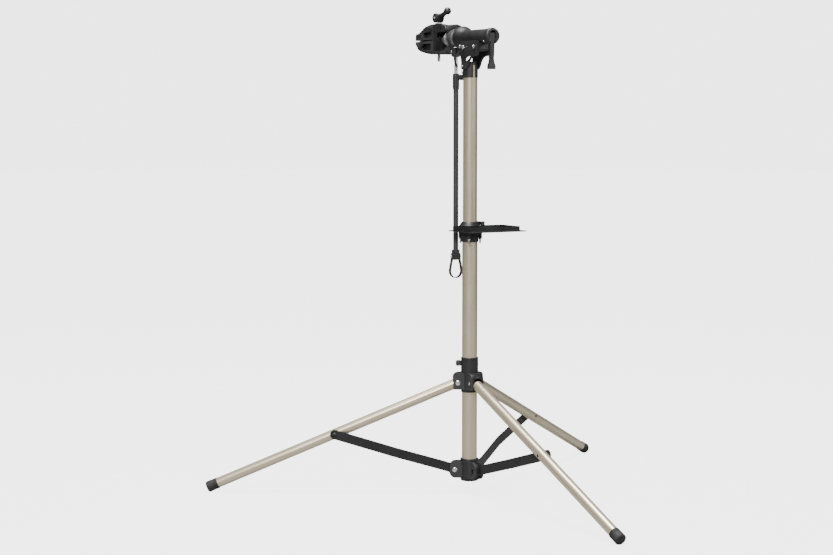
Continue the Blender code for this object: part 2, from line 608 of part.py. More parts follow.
def make_upper_jaw(stand):
    """The swinging jaw: a tongue between the fixed jaw's ribs and a domed claw in front of them."""
    axis = empty("jaw_axis", (JAW_PIVOT[0], 0.0, JAW_PIVOT[1]), parent=stand)
    pivot = (JAW_PIVOT[0] / MM, JAW_PIVOT[1] / MM)
    tongue = arc(*pivot, 10, 90, 170, 6) + arc(*pivot, 6.2, 180, 270, 6)
    tongue += [(112, 1146), (148, 1137), (148, 1167), (116, 1165)]
    claw = [(146, 1129), (193, 1129), (212, 1140), (231, 1129), (233, 1129), (233, 1141), (230, 1145.5),
            (218, 1146.5), (206, 1151.5), (195, 1157.5), (185, 1162.5), (173, 1166.8), (160, 1169),
            (146, 1169)]
    crown = mm([(-25.5, -60), (25.5, -60)] + arc(11.5, 0, 14, 0, 90, 5) + arc(-11.5, 0, 14, 90, 180, 5))
    jaw = finish("upper_jaw", placed_on(axis, prism(on_arm(tongue), -20.2 * MM, 20.2 * MM)), "plastic", axis)
    add(jaw, placed_on(axis, prism(on_arm(claw), -JAW_HALF, JAW_HALF)))
    dome = prism(crown, -20 * MM, 140 * MM)
    dome.transform(Matrix.Rotation(-pi / 2, 4, "Z"))
    boolean(jaw, dome, "INTERSECT")
    cut(jaw, block(span(41.2, 66.6), span(-4.6, 4.6), span(-40, 30)))
    cut(jaw, rod(BOLT_HOLE, -30 * MM, 30 * MM, COARSE, "Y"))
    cut(jaw, placed_on(axis, side_pockets([(154, 1134), (194, 1134), (194, 1147), (154, 1150)], 7 * MM)))
    finish("upper_pad", placed_on(axis, jaw_pad(1)), "rubber", axis)


def placed_on(axis, bm):
    """A shape made on the arm's axis, moved so that it is right when it hangs on the given frame."""
    bm.transform(Matrix.Translation((-axis.location.x, 0.0, ARM_Z - axis.location.z)))
    return bm


def make_cam(stand):
    """The spindle that pulls the jaws together, its washer and its ball lever."""
    thrust = empty("thrust_axis", (SPINDLE_X, 0.0, 0.0), parent=stand)
    washer = tube(9.5 * MM, 4.3 * MM, 1169.4 * MM, 1171.4 * MM, MEDIUM)
    finish("thrust_washer", washer, "steel", thrust)
    spindle_frame = empty("spindle_axis", (SPINDLE_X, 0.0, 0.0), parent=stand)
    spindle = finish("spindle", rod(3.9 * MM, 1075 * MM, CAM_Z + 2 * MM, 20), "steel", spindle_frame)
    add(spindle, rod(3.0 * MM, -14.5 * MM, 14.5 * MM, COARSE, "Y", (0, 0, CAM_Z)))

    cam_axis = empty("cam_axis", (SPINDLE_X, 0.0, CAM_Z), parent=stand)
    hub = finish("cam_lever", rod(11.7 * MM, -8.5 * MM, 13 * MM, MEDIUM, "Y"), "plastic", cam_axis)
    cut(hub, block(span(-5, 14), span(-4.3, 4.3), span(-14, 14)))
    cut(hub, rod(BOLT_HOLE, -16 * MM, 16 * MM, COARSE, "Y"))
    along_lever = Matrix.Rotation(pi + CAM_LEVER_RISE, 4, "Y")
    neck = turned(mm([(0, 9), (6.5, 9), (4.8, 20), (4.4, 36), (0, 36)]), 16, False, "X")
    neck.transform(along_lever)
    add(hub, neck)
    ball = turned(arc(0, 0, BALL_R, -90, 90, 12), MEDIUM)
    ball.transform(along_lever @ Matrix.Translation((BALL_REACH, 0, 0)))
    finish("ball_knob", ball, "plastic", cam_axis)


# ---------------------------------------------------------------- stabiliser rod

def make_rod(stand):
    swing = empty("rod_swing_axis", (ROD_X, 0.0, ARM_Z), parent=stand)

    def z(height):
        return height * MM - ARM_Z

    ring_r = DRUM_R + 0.6 * MM + 1.1 * MM
    path = [(9.6 * MM, z(1086)), (9.6 * MM, z(1102))] + arc(0, 0, ring_r, -62, 242, 30)
    path += [(-9.6 * MM, z(1102)), (-9.6 * MM, z(1086))]
    strap = finish("upper_strap", strip(path, (-6 * MM, 6 * MM), 2.2 * MM), "rubber", swing)
    tail = [(9.6, 1103), (9.6, 1083), (9.2, 1078), (8.2, 1072), (6.4, 1066.5), (4.0, 1062), (1.2, 1058.5)]
    add(strap, strip([(y * MM, z(h)) for y, h in tail], (-13.5 * MM, -5.2 * MM), 2.2 * MM))
    yoke_box = block(span(-5.8, 5.8), span(-8.2, 8.2), (z(1084), z(1101)))
    yoke = finish("upper_yoke", yoke_box, "plastic", swing)
    cut(yoke, rod(4.8 * MM, z(1070), z(1092.3), MEDIUM))
    add(yoke, rod(3.6 * MM, -13.8 * MM, -7 * MM, COARSE, "Y", (0, 0, z(1094))))
    cut(strap, rod(4.0 * MM, -13 * MM, -5 * MM, COARSE, "Y", (0, 0, z(1094))))
    finish("rod_inner", rod(4.5 * MM, z(650), z(1092), MEDIUM), "steel", swing)

    slide = empty("rod_slide_axis", (ROD_X, 0.0, ARM_Z), parent=stand)
    finish("rod_outer", tube(6.5 * MM, 4.8 * MM, z(597), z(1020), MEDIUM), "black_steel", slide)
    collar = turned([(6.8 * MM, z(1004)), (8.2 * MM, z(1004)), (8.2 * MM, z(1043)), (4.8 * MM, z(1043)),
                     (4.8 * MM, z(1020.3)), (6.8 * MM, z(1020.3))], MEDIUM, True)
    collar = finish("rod_collar", collar, "plastic", slide)
    add(collar, rod(5 * MM, -11.5 * MM, -7 * MM, 16, "Y", (0, 0, z(1034))))
    cut(collar, rod(4.8 * MM, z(1021), z(1050), MEDIUM))
    cut(collar, rod(SCREW_HOLE, -14 * MM, -4 * MM, COARSE, "Y", (0, 0, z(1034))))
    lower_box = block(span(-5.8, 5.8), span(-8.8, 8.8), (z(579), z(605)))
    lower = finish("lower_yoke", lower_box, "plastic", slide)
    cut(lower, rod(6.8 * MM, z(596.7), z(620), MEDIUM))
    add(lower, rod(3.6 * MM, -14.8 * MM, 14.8 * MM, COARSE, "Y", (0, 0, z(587))))
    side = [(10.4 * MM, z(596)), (10.4 * MM, z(584)), (11.5 * MM, z(577)), (14.0 * MM, z(567))]
    loop = side + arc(0, z(551), 16.6 * MM, 20, -200, 20) + [(-y, height) for y, height in reversed(side)]
    strap = finish("lower_strap", strip(loop, (-5.5 * MM, 5.5 * MM), 2.2 * MM), "rubber", slide)
    cut(strap, rod(4.0 * MM, -16 * MM, 16 * MM, COARSE, "Y", (0, 0, z(587))))

    screw = empty("thumbscrew_axis", (ROD_X, 0.0, 1034 * MM), parent=stand)
    knob = finish("thumbscrew", stepped(mm([(7.6, -21, -12), (2.5, -12, -5)]), 24, "Y"), "plastic", screw)
    flutes = [rod(2.2 * MM, -25 * MM, -11.9 * MM, 10, "Y", (8.6 * MM * cos(a), 0, 8.6 * MM * sin(a)))
              for a in [tau * k / 6 for k in range(6)]]
    cut(knob, joined(*flutes))


def main():
    for item in list(bpy.data.objects):
        bpy.data.objects.remove(item, do_unlink=True)
    stand = empty("stand", (MAST_X, 0.0, 0.0))
    make_mast(stand)
    make_upper_hub(stand)
    for name, azimuth in SPOKES.items():
        make_leg(name, azimuth, stand)
        make_strut(name, azimuth, stand)
    make_mast_clamp(stand)
    make_inner_mast(stand)
    make_arm_lever(stand)
    make_lower_jaw(make_drum(stand))
    make_upper_jaw(stand)
    make_cam(stand)
    make_rod(stand)


main()
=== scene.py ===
"""Looks of the bike repair stand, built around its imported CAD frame.

Shapes are made in millimetres, measured from the mast's axis on the floor: +X is the way the clamp
reaches and +Z is up.  piece() turns them into metres and places them from that axis.
"""

import json
from math import atan2, cos, degrees, pi, radians, sin, sqrt, tau

import bmesh
import bpy
from mathutils import Matrix, Vector


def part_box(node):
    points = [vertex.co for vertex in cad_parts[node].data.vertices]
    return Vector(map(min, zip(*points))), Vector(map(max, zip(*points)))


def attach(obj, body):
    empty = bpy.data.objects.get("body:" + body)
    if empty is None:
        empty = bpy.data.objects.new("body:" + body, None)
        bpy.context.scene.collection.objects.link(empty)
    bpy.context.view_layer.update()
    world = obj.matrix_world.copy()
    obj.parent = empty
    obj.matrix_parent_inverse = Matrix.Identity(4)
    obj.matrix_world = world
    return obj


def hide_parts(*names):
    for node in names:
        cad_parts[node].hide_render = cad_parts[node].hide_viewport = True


MM = 0.001
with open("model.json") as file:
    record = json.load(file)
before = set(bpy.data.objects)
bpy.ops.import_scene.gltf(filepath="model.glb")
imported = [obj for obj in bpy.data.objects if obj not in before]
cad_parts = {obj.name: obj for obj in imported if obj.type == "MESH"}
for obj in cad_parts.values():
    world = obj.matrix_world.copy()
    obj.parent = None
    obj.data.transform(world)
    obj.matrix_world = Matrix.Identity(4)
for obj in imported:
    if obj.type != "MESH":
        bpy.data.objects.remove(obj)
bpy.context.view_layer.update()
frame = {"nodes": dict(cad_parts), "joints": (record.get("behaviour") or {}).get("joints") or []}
NODES = frame["nodes"]
JOINTS = {joint["name"]: joint for joint in frame["joints"]}

tube_low, tube_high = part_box("outer_tube")
MAST_X = (tube_low.x + tube_high.x) / 2
MAST = Matrix.Translation((MAST_X, 0.0, 0.0))

# Camera, in metres and degrees: its place from the mast, its level direction and its tilt down.
LENS = 79.93
CAMERA_X = MAST_X - 3.933
CAMERA_Y = 2.316
CAMERA_Z = 0.9306
LEVEL_DIRECTION = (0.8760, -0.4823, 0.0)
CAMERA_TILT = 4.897
SOFT_LIGHT = 0.17
BACKDROP = 4.6
FLOOR_GLOW = 3.75

# The stand, in millimetres and degrees.
SPOKES = {"F": 180.0, "L": 60.0, "R": -60.0}
HUB_Z = 278.5
LEG_PIVOT_R = 28.6
LEG_SLOPE = 23.07
LEG_LENGTH = 682.4
LEG_R = 12.5
STRUT_PIVOT_R = 36.4
STRUT_PIVOT_Z = 60.0
STRUT_ON_LEG = 333.2
STRUT_THICKNESS = 4.0
INNER_TUBE_R = 17.6
INNER_TUBE_HOLE_R = 16.2
GROOVE_DEPTH = 1.15
GROOVE_HALF = 2.4
ARM_Z = 1129.5
BARREL_BOLT = (18.0, 0.0, 1108.0)
LEVER_PIVOT = (-100.0, 0.0, 1134.0)
JAW_PIVOT = (104.0, 0.0, 1155.0)
SPLIT_Z = 1127.7
PAD_TIP = 230.5
PAD_ROOT = 193.5
SPINDLE_X = 156.0
CAM_Z = 1184.0
CAM_LEVER_RISE = 20.0
BALL_R = 9.4
BALL_REACH = 45.8
DRUM_R = 21.0
ROD_X = 70.0

# How many sides a large and a small round shape have.
ROUND = 96
SMALL_ROUND = 48


# ---------------------------------------------------------------- camera, light and floor

def make_camera():
    camera = bpy.data.objects.new("camera", bpy.data.cameras.new("camera"))
    bpy.context.scene.collection.objects.link(camera)
    camera.data.lens = LENS
    camera.data.sensor_width = 36.0
    camera.data.clip_end = 60.0
    camera.location = (CAMERA_X, CAMERA_Y, CAMERA_Z)
    level = Vector(LEVEL_DIRECTION).normalized()
    tilt = radians(CAMERA_TILT)
    look = level * cos(tilt) + Vector((0.0, 0.0, -sin(tilt)))
    camera.rotation_euler = look.to_track_quat("-Z", "Y").to_euler()
    bpy.context.scene.camera = camera


def area_light(name, place, target, size, power):
    data = bpy.data.lights.new(name, "AREA")
    data.size = size
    data.energy = power
    light = bpy.data.objects.new(name, data)
    light.location = place
    light.rotation_euler = (Vector(target) - Vector(place)).to_track_quat("-Z", "Y").to_euler()
    bpy.context.scene.collection.objects.link(light)


def make_studio():
    world = bpy.data.worlds.new("studio")
    world.use_nodes = True
    tree = world.node_tree
    soft = tree.nodes["Background"]
    soft.inputs["Color"].default_value = (1.0, 1.0, 1.0, 1.0)
    soft.inputs["Strength"].default_value = SOFT_LIGHT
    backdrop = tree.nodes.new("ShaderNodeBackground")
    backdrop.inputs["Strength"].default_value = BACKDROP
    seen = tree.nodes.new("ShaderNodeLightPath").outputs["Is Camera Ray"]
    mix = tree.nodes.new("ShaderNodeMixShader")
    tree.links.new(seen, mix.inputs["Fac"])
    tree.links.new(soft.outputs["Background"], mix.inputs[1])
    tree.links.new(backdrop.outputs["Background"], mix.inputs[2])
    tree.links.new(mix.outputs["Shader"], tree.nodes["World Output"].inputs["Surface"])
    bpy.context.scene.world = world
    middle = (MAST_X, 0.0, 0.7)
    area_light("key_light", (-3.3, 3.1, 3.6), middle, 1.1, 320.0)
    area_light("side_light", (-3.8, -2.4, 2.2), middle, 0.8, 60.0)
    area_light("top_light", (0.2, 0.4, 3.8), middle, 1.1, 240.0)

    floor_mesh = bpy.data.meshes.new("floor")
    bm = bmesh.new()
    bmesh.ops.create_circle(bm, cap_ends=True, radius=30.0, segments=96)
    bm.to_mesh(floor_mesh)
    bm.free()
    floor = bpy.data.objects.new("floor", floor_mesh)
    floor.location = (0.0, 0.0, -0.0005)
    bpy.context.scene.collection.objects.link(floor)
    pale = bpy.data.materials.new("pale_floor")
    pale.use_nodes = True
    tree = pale.node_tree
    shader = tree.nodes["Principled BSDF"]
    shader.inputs["Base Color"].default_value = (0.25, 0.25, 0.25, 1.0)
    shader.inputs["Roughness"].default_value = 0.9
    shader.inputs["Specular IOR Level"].default_value = 0.1
    shader.inputs["Emission Color"].default_value = (1.0, 1.0, 1.0, 1.0)
    strength = tree.nodes.new("ShaderNodeMath")
    strength.operation = "MULTIPLY"
    strength.inputs[1].default_value = FLOOR_GLOW
    tree.links.new(tree.nodes.new("ShaderNodeLightPath").outputs["Is Camera Ray"], strength.inputs[0])
    tree.links.new(strength.outputs["Value"], shader.inputs["Emission Strength"])
    floor.data.materials.append(pale)


# ---------------------------------------------------------------- materials

class Finish:
    """A Principled material whose colour, roughness and bump come from noise in object space."""

    def __init__(self, name, metallic=0.0, **sockets):
        self.material = bpy.data.materials.new(name)
        self.material.use_nodes = True
        self.nodes = self.material.node_tree.nodes
        self.links = self.material.node_tree.links
        self.shader = self.nodes["Principled BSDF"]
        self.shader.inputs["Metallic"].default_value = metallic
        for socket, value in sockets.items():
            self.shader.inputs[socket.replace("_", " ")].default_value = value
        self.place = self.nodes.new("ShaderNodeTexCoord").outputs["Object"]

    def noise(self, scale, stretch=(1.0, 1.0, 1.0), detail=3.0, roughness=0.5):
        mapping = self.nodes.new("ShaderNodeMapping")
        mapping.inputs["Scale"].default_value = stretch
        self.links.new(self.place, mapping.inputs["Vector"])
        texture = self.nodes.new("ShaderNodeTexNoise")
        texture.inputs["Scale"].default_value = scale
        texture.inputs["Detail"].default_value = detail
        texture.inputs["Roughness"].default_value = roughness
        self.links.new(mapping.outputs["Vector"], texture.inputs["Vector"])
        return texture.outputs["Fac"]

    def ramp(self, value, stops):
        """Colours or greys by value; stops are (position, colour)."""
        node = self.nodes.new("ShaderNodeValToRGB")
        ramp = node.color_ramp
        while len(ramp.elements) < len(stops):
            ramp.elements.new(0.5)
        for element, (position, colour) in zip(ramp.elements, stops):
            element.position = position
            grey = (colour, colour, colour) if isinstance(colour, float) else colour
            element.color = (*grey, 1.0)
        self.links.new(value, node.inputs["Fac"])
        return node.outputs["Color"]

    def mixed(self, factor, first, second):
        node = self.nodes.new("ShaderNodeMix")
        node.data_type = "RGBA"
        for socket, value in (("Factor", factor), ("A", first), ("B", second)):
            target = [item for item in node.inputs if item.name == socket and item.enabled][0]
            if isinstance(value, bpy.types.NodeSocket):
                self.links.new(value, target)
            else:
                target.default_value = value if socket == "Factor" else (*value, 1.0)
        return [item for item in node.outputs if item.enabled][0]

    def edges(self, low, high):
        """White on the model's sharp ridges, black elsewhere; the finishes use it to lighten ridges, partly
        as edge wear and partly as a painted edge highlight.
        """
        pointiness = self.nodes.new("ShaderNodeNewGeometry").outputs["Pointiness"]
        return self.ramp(pointiness, [(low, 0.0), (high, 1.0)])

    def colour(self, value):
        self.links.new(value, self.shader.inputs["Base Color"])

    def roughness(self, value):
        self.links.new(value, self.shader.inputs["Roughness"])

    def bump(self, height, distance, strength):
        node = self.nodes.new("ShaderNodeBump")
        node.inputs["Strength"].default_value = strength
        node.inputs["Distance"].default_value = distance
        self.links.new(height, node.inputs["Height"])
        self.links.new(node.outputs["Normal"], self.shader.inputs["Normal"])


BLACK = [(0.3, (0.0085, 0.0085, 0.009)), (0.7, (0.013, 0.013, 0.0135))]


def anodised(name, stretch):
    """Champagne anodised tube with faint drawing lines along its length."""
    finish = Finish(name, metallic=0.78, IOR=1.5)
    lines = finish.noise(900.0, stretch, detail=4.0)
    clouds = finish.noise(14.0, detail=2.0)
    tint = finish.ramp(clouds, [(0.3, (0.73, 0.62, 0.44)), (0.7, (0.80, 0.69, 0.51))])
    streaks = finish.ramp(lines, [(0.35, (0.68, 0.59, 0.42)), (0.65, (0.86, 0.77, 0.60))])
    finish.colour(finish.mixed(0.25, tint, streaks))
    finish.roughness(finish.ramp(lines, [(0.3, 0.30), (0.7, 0.41)]))
    finish.bump(lines, 0.00006, 0.35)
    return finish.material


def moulded_plastic():
    finish = Finish("moulded_plastic", IOR=1.48)
    grain = finish.noise(2600.0, detail=2.0)
    clouds = finish.noise(35.0, detail=4.0)
    body = finish.ramp(clouds, BLACK)
    # Ridges lightened to dark grey: partly edge wear, partly a painted edge highlight.
    wear_and_edge_highlight = finish.mixed(finish.edges(0.52, 0.60), body, (0.036, 0.036, 0.037))
    finish.colour(wear_and_edge_highlight)
    finish.roughness(finish.ramp(clouds, [(0.3, 0.38), (0.7, 0.52)]))
    finish.bump(grain, 0.00012, 0.45)
    return finish.material


def powder_coat():
    finish = Finish("powder_coat", IOR=1.5)
    peel = finish.noise(700.0, detail=2.0)
    clouds = finish.noise(25.0, detail=4.0)
    body = finish.ramp(clouds, BLACK)
    # Ridges lightened to grey: partly edge wear, partly a painted edge highlight.
    finish.colour(finish.mixed(finish.edges(0.53, 0.64), body, (0.10, 0.10, 0.105)))
    finish.roughness(finish.ramp(clouds, [(0.3, 0.30), (0.7, 0.44)]))
    finish.bump(peel, 0.0002, 0.4)
    return finish.material


def soft_rubber():
    finish = Finish("soft_rubber", IOR=1.5)
    grain = finish.noise(1500.0, detail=5.0, roughness=0.7)
    dust = finish.noise(60.0, detail=6.0, roughness=0.65)
    tones = [(0.35, (0.014, 0.014, 0.014)), (0.55, (0.021, 0.021, 0.021)), (0.8, (0.055, 0.053, 0.050))]
    finish.colour(finish.ramp(dust, tones))
    finish.roughness(finish.ramp(dust, [(0.3, 0.62), (0.7, 0.85)]))
    finish.bump(grain, 0.0003, 0.5)
    return finish.material


def strap_web():
    """Moulded strap with fine ribs across it."""
    finish = Finish("strap_web", IOR=1.5)
    wave = finish.nodes.new("ShaderNodeTexWave")
    wave.bands_direction = "Z"
    wave.inputs["Scale"].default_value = 260.0
    finish.links.new(finish.place, wave.inputs["Vector"])
    dust = finish.noise(90.0, detail=5.0)
    finish.colour(finish.ramp(dust, [(0.3, (0.016, 0.016, 0.017)), (0.75, (0.034, 0.034, 0.035))]))
    finish.roughness(finish.ramp(dust, [(0.3, 0.55), (0.7, 0.75)]))
    finish.bump(wave.outputs["Fac"], 0.0002, 0.35)
    return finish.material


def bright_steel(name, stretch=(1.0, 1.0, 1.0), dark=0.52, light=0.72, smooth=0.16, rough=0.32):
    finish = Finish(name, metallic=1.0)
    lines = finish.noise(1400.0, stretch, detail=3.0)
    clouds = finish.noise(55.0, detail=4.0)
    tones = [(0.3, (dark, dark, dark * 1.01)), (0.7, (light, light, light * 1.01))]
    finish.colour(finish.ramp(clouds, tones))
    finish.roughness(finish.ramp(lines, [(0.3, smooth), (0.7, rough)]))
    finish.bump(lines, 0.00004, 0.3)
    return finish.material


ANODISED_Z = anodised("anodised_mast", (1.0, 1.0, 0.012))
ANODISED_X = anodised("anodised_leg", (0.012, 1.0, 1.0))
PLASTIC = moulded_plastic()
COATED = powder_coat()
RUBBER = soft_rubber()
WEB = strap_web()
ZINC = bright_steel("zinc_plate", dark=0.72, light=0.90, smooth=0.22, rough=0.34)
DULL = bright_steel("dull_bolt", dark=0.09, light=0.16, smooth=0.34, rough=0.48)
CHROME_Z = bright_steel("drawn_rod", (1.0, 1.0, 0.02), 0.84, 0.95, 0.28, 0.42)
TURNED = bright_steel("turned_drum", (1.0, 0.05, 0.05), 0.50, 0.66, 0.34, 0.50)


# ---------------------------------------------------------------- shape tools, in millimetres

def outward(bm):
    bmesh.ops.recalc_face_normals(bm, faces=bm.faces)
    if bm.calc_volume(signed=True) < 0.0:
        bmesh.ops.reverse_faces(bm, faces=bm.faces)
    return bm


def lay(bm, axis, centre=(0.0, 0.0, 0.0)):
    """Turn a shape made along Z so that it lies along another axis, then move it."""
    turns = {"Z": Matrix(), "X": Matrix.Rotation(pi / 2, 4, "Y"), "Y": Matrix.Rotation(-pi / 2, 4, "X")}
    bm.transform(Matrix.Translation(centre) @ turns[axis])
    return bm


def lathe(profile, steps=ROUND, axis="Z", centre=(0.0, 0.0, 0.0), ring=False):
    """Spin (radius, height) points about an axis; a ring's profile closes on itself."""
    bm = bmesh.new()
    rows = []
    for radius, height in profile:
        if radius < 1e-6:
            rows.append([bm.verts.new((0.0, 0.0, height))])
        else:
            angles = [tau * k / steps for k in range(steps)]
            rows.append([bm.verts.new((radius * cos(a), radius * sin(a), height)) for a in angles])
    pairs = list(zip(rows, rows[1:]))
    if ring:
        pairs.append((rows[-1], rows[0]))
    for low, high in pairs:
        for k in range(steps):
            after = (k + 1) % steps
            if len(low) == 1 and len(high) == 1:
                continue
            if len(low) == 1:
                bm.faces.new((low[0], high[k], high[after]))
            elif len(high) == 1:
                bm.faces.new((low[k], low[after], high[0]))
            else:
                bm.faces.new((low[k], low[after], high[after], high[k]))
    return lay(outward(bm), axis, centre)


def cylinder(radius, low, high, steps=ROUND, axis="Z", centre=(0.0, 0.0, 0.0)):
    return lathe([(0.0, low), (radius, low), (radius, high), (0.0, high)], steps, axis, centre)


def pin(radius, half, chamfer, centre):
    """A chamfered pin along Y."""
    end = radius - chamfer
    profile = [(0.0, -half), (end, -half), (radius, chamfer - half), (radius, half - chamfer), (end, half),
               (0.0, half)]
    return lathe(profile, 32, "Y", centre)


def arc(cx, cy, radius, start, stop, count=8):
    angles = [radians(start + (stop - start) * k / count) for k in range(count + 1)]
    return [(cx + radius * cos(a), cy + radius * sin(a)) for a in angles]


def prism(outline, low, high, across="Y"):
    """An (x, z) outline swept along Y, or an (x, y) outline swept along Z."""
    bm = bmesh.new()
    place = (lambda a, b, c: (a, c, b)) if across == "Y" else (lambda a, b, c: (a, b, c))
    bottom = [bm.verts.new(place(a, b, low)) for a, b in outline]
    top = [bm.verts.new(place(a, b, high)) for a, b in outline]
    bm.faces.new(bottom)
    bm.faces.new(top)
    for k in range(len(outline)):
        after = (k + 1) % len(outline)
        bm.faces.new((bottom[k], bottom[after], top[after], top[k]))
    return outward(bm)


def rounded(x, y, radius, count=6):
    corners = [(x[1] - radius, y[1] - radius, 0), (x[0] + radius, y[1] - radius, 90),
               (x[0] + radius, y[0] + radius, 180), (x[1] - radius, y[0] + radius, 270)]
    points = []
    for cx, cy, start in corners:
        points += arc(cx, cy, radius, start, start + 90, count)
    return points


def block(x, y, z):
    return prism([(x[0], z[0]), (x[1], z[0]), (x[1], z[1]), (x[0], z[1])], y[0], y[1])


def soften(bm, width, segments=2, sharp=32.0):
    """Round every edge that turns by more than the sharp angle, in degrees."""
    limit = radians(sharp)
    shared = [edge for edge in bm.edges if len(edge.link_faces) == 2]
    edges = [edge for edge in shared if edge.calc_face_angle(0.0) > limit]
    bmesh.ops.bevel(bm, geom=edges, offset=width, offset_type="OFFSET", segments=segments, profile=0.5,
                    affect="EDGES", clamp_overlap=True)
    return bm


def joined(*shapes):
    whole = shapes[0]
    for shape in shapes[1:]:
        carrier = bpy.data.meshes.new("carrier")
        shape.to_mesh(carrier)
        shape.free()
        whole.from_mesh(carrier)
        bpy.data.meshes.remove(carrier)
    return whole


def moved(bm, matrix):
    bm.transform(matrix)
    return bm


def raised(bm, height):
    return moved(bm, Matrix.Translation((0.0, 0.0, height)))


def upside_down(bm):
    return moved(bm, Matrix.Rotation(pi, 4, "X"))


def turned_about_z(bm, angle):
    return moved(bm, Matrix.Rotation(radians(angle), 4, "Z"))


def boolean(bm, tool, operation="DIFFERENCE"):
    """The shape with another cut from it, or added to it."""
    objects = []
    for shape in (bm, tool):
        mesh = bpy.data.meshes.new("boolean")
        shape.to_mesh(mesh)
        shape.free()
        item = bpy.data.objects.new("boolean", mesh)
        bpy.context.scene.collection.objects.link(item)
        objects.append(item)
    modifier = objects[0].modifiers.new("boolean", "BOOLEAN")
    modifier.operation = operation
    modifier.object = objects[1]
    modifier.solver = "EXACT"
    evaluated = objects[0].evaluated_get(bpy.context.evaluated_depsgraph_get())
    result = bmesh.new()
    result.from_mesh(evaluated.to_mesh())
    evaluated.to_mesh_clear()
    for item in objects:
        mesh = item.data
        bpy.data.objects.remove(item)
        bpy.data.meshes.remove(mesh)
    return result


def from_node(node, width, segments=2):
    """A CAD node's own shape with its edges rounded, in millimetres from the mast's axis."""
    bm = bmesh.new()
    bm.from_mesh(NODES[node].data)
    bmesh.ops.remove_doubles(bm, verts=bm.verts, dist=1e-6)
    bmesh.ops.dissolve_limit(bm, angle_limit=radians(0.6), verts=bm.verts, edges=bm.edges)
    bm.transform(Matrix.Scale(1 / MM, 4) @ MAST.inverted())
    return soften(bm, width, segments)


def piece(name, bm, material, body, replaced=(), matrix=MAST, sharp=35.0):
    """A finished piece from a shape in millimetres, placed by a rigid matrix in metres."""
    bm.transform(Matrix.Scale(MM, 4))
    mesh = bpy.data.meshes.new(name)
    bm.to_mesh(mesh)
    bm.free()
    mesh.shade_smooth()
    mesh.set_sharp_from_angle(angle=radians(sharp))
    result = bpy.data.objects.new(name, mesh)
    bpy.context.scene.collection.objects.link(result)
    result.matrix_world = matrix
    mesh.materials.append(material)
    weighted = result.modifiers.new("weighted normals", "WEIGHTED_NORMAL")
    weighted.keep_sharp = True
    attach(result, body)
    if replaced:
        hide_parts(*replaced)
    return result


def hex_outline(radius, centre=(0.0, 0.0)):
    angles = [tau * k / 6 for k in range(6)]
    return [(centre[0] + radius * cos(a), centre[1] + radius * sin(a)) for a in angles]


def button_head(radius, height, shank=0.0, length=0.0):
    """A domed screw head with a hexagon socket, its seat at z = 0, over an optional shank."""
    dome = [(radius * cos(a), height * (0.35 + 0.65 * sin(a))) for a in [pi / 2 * k / 8 for k in range(7)]]
    profile = [(0.0, 0.0)]
    if length:
        profile = [(0.0, -length), (shank - 0.3, -length), (shank, -length + 0.3), (shank, 0.0)]
    profile += [(radius - 0.3, 0.0), (radius, 0.3)] + dome + [(0.0, height)]
    head = lathe(profile, SMALL_ROUND)
    return boolean(head, prism(hex_outline(radius * 0.36), height * 0.35, height + 5.0, "Z"))


def hex_nut(radius, height, bore):
    """A nylon-insert nut on z = 0: a chamfered hexagon with a round collar on top."""
    hexagon = soften(prism(hex_outline(radius), 0.0, height * 0.7, "Z"), 0.35)
    collar = lathe([(bore, height * 0.6), (radius * 0.82, height * 0.6), (radius * 0.82, height * 0.9),
                    (radius * 0.7, height), (bore, height)], SMALL_ROUND, ring=True)
    return joined(hexagon, collar)


def thread(radius, low, high, pitch, depth):
    """Profile points for a cut thread, drawn as close rings, from low to high."""
    count = int((high - low) / pitch)
    points = []
    for k in range(count):
        start = low + pitch * k
        points += [(radius - depth, start), (radius, start + pitch * 0.3), (radius, start + pitch * 0.5)]
    return points + [(radius - depth, low + pitch * count)]


def strap(path, width, thickness, holes=(), hole_radius=1.6):
    """A flat strap along (y, z) points, width along X, its long edges bevelled to a point on each side."""
    bm = bmesh.new()
    x0, x1 = width
    edge = thickness * 0.35
    section = [(x0, 0.0), (x0 + edge, 0.5), (x1 - edge, 0.5), (x1, 0.0), (x1 - edge, -0.5), (x0 + edge, -0.5)]
    rings = []
    for k, (y, z) in enumerate(path):
        before = Vector(path[max(k - 1, 0)])
        after = Vector(path[min(k + 1, len(path) - 1)])
        run = (after - before).normalized()
        rings.append([bm.verts.new((x, y - run.y * thickness * side, z + run.x * thickness * side))
                      for x, side in section])
    for ring, following in zip(rings, rings[1:]):
        for k in range(len(section)):
            after = (k + 1) % len(section)
            bm.faces.new((ring[k], ring[after], following[after], following[k]))
    bm.faces.new(rings[0])
    bm.faces.new(rings[-1])
    outward(bm)
    middle = (x0 + x1) / 2
    for y, z, angle in holes:
        tool = cylinder(hole_radius, -4.0, 4.0, 20, "Y")
        tool.transform(Matrix.Translation((middle, y, z)) @ Matrix.Rotation(radians(angle), 4, "X"))
        bm = boolean(bm, tool)
    return bm


def dense(points, step):
    """The same polyline with points at most one step apart, corners rounded by averaging."""
    result = [Vector(points[0])]
    for a, b in zip(points, points[1:]):
        a, b = Vector(a), Vector(b)
        count = max(1, int((b - a).length / step))
        result += [a.lerp(b, (k + 1) / count) for k in range(count)]
    for _ in range(3):
        inner = [(p + q + r) / 3 for p, q, r in zip(result, result[1:], result[2:])]
        result = [result[0]] + inner + [result[-1]]
    return [tuple(p) for p in result]


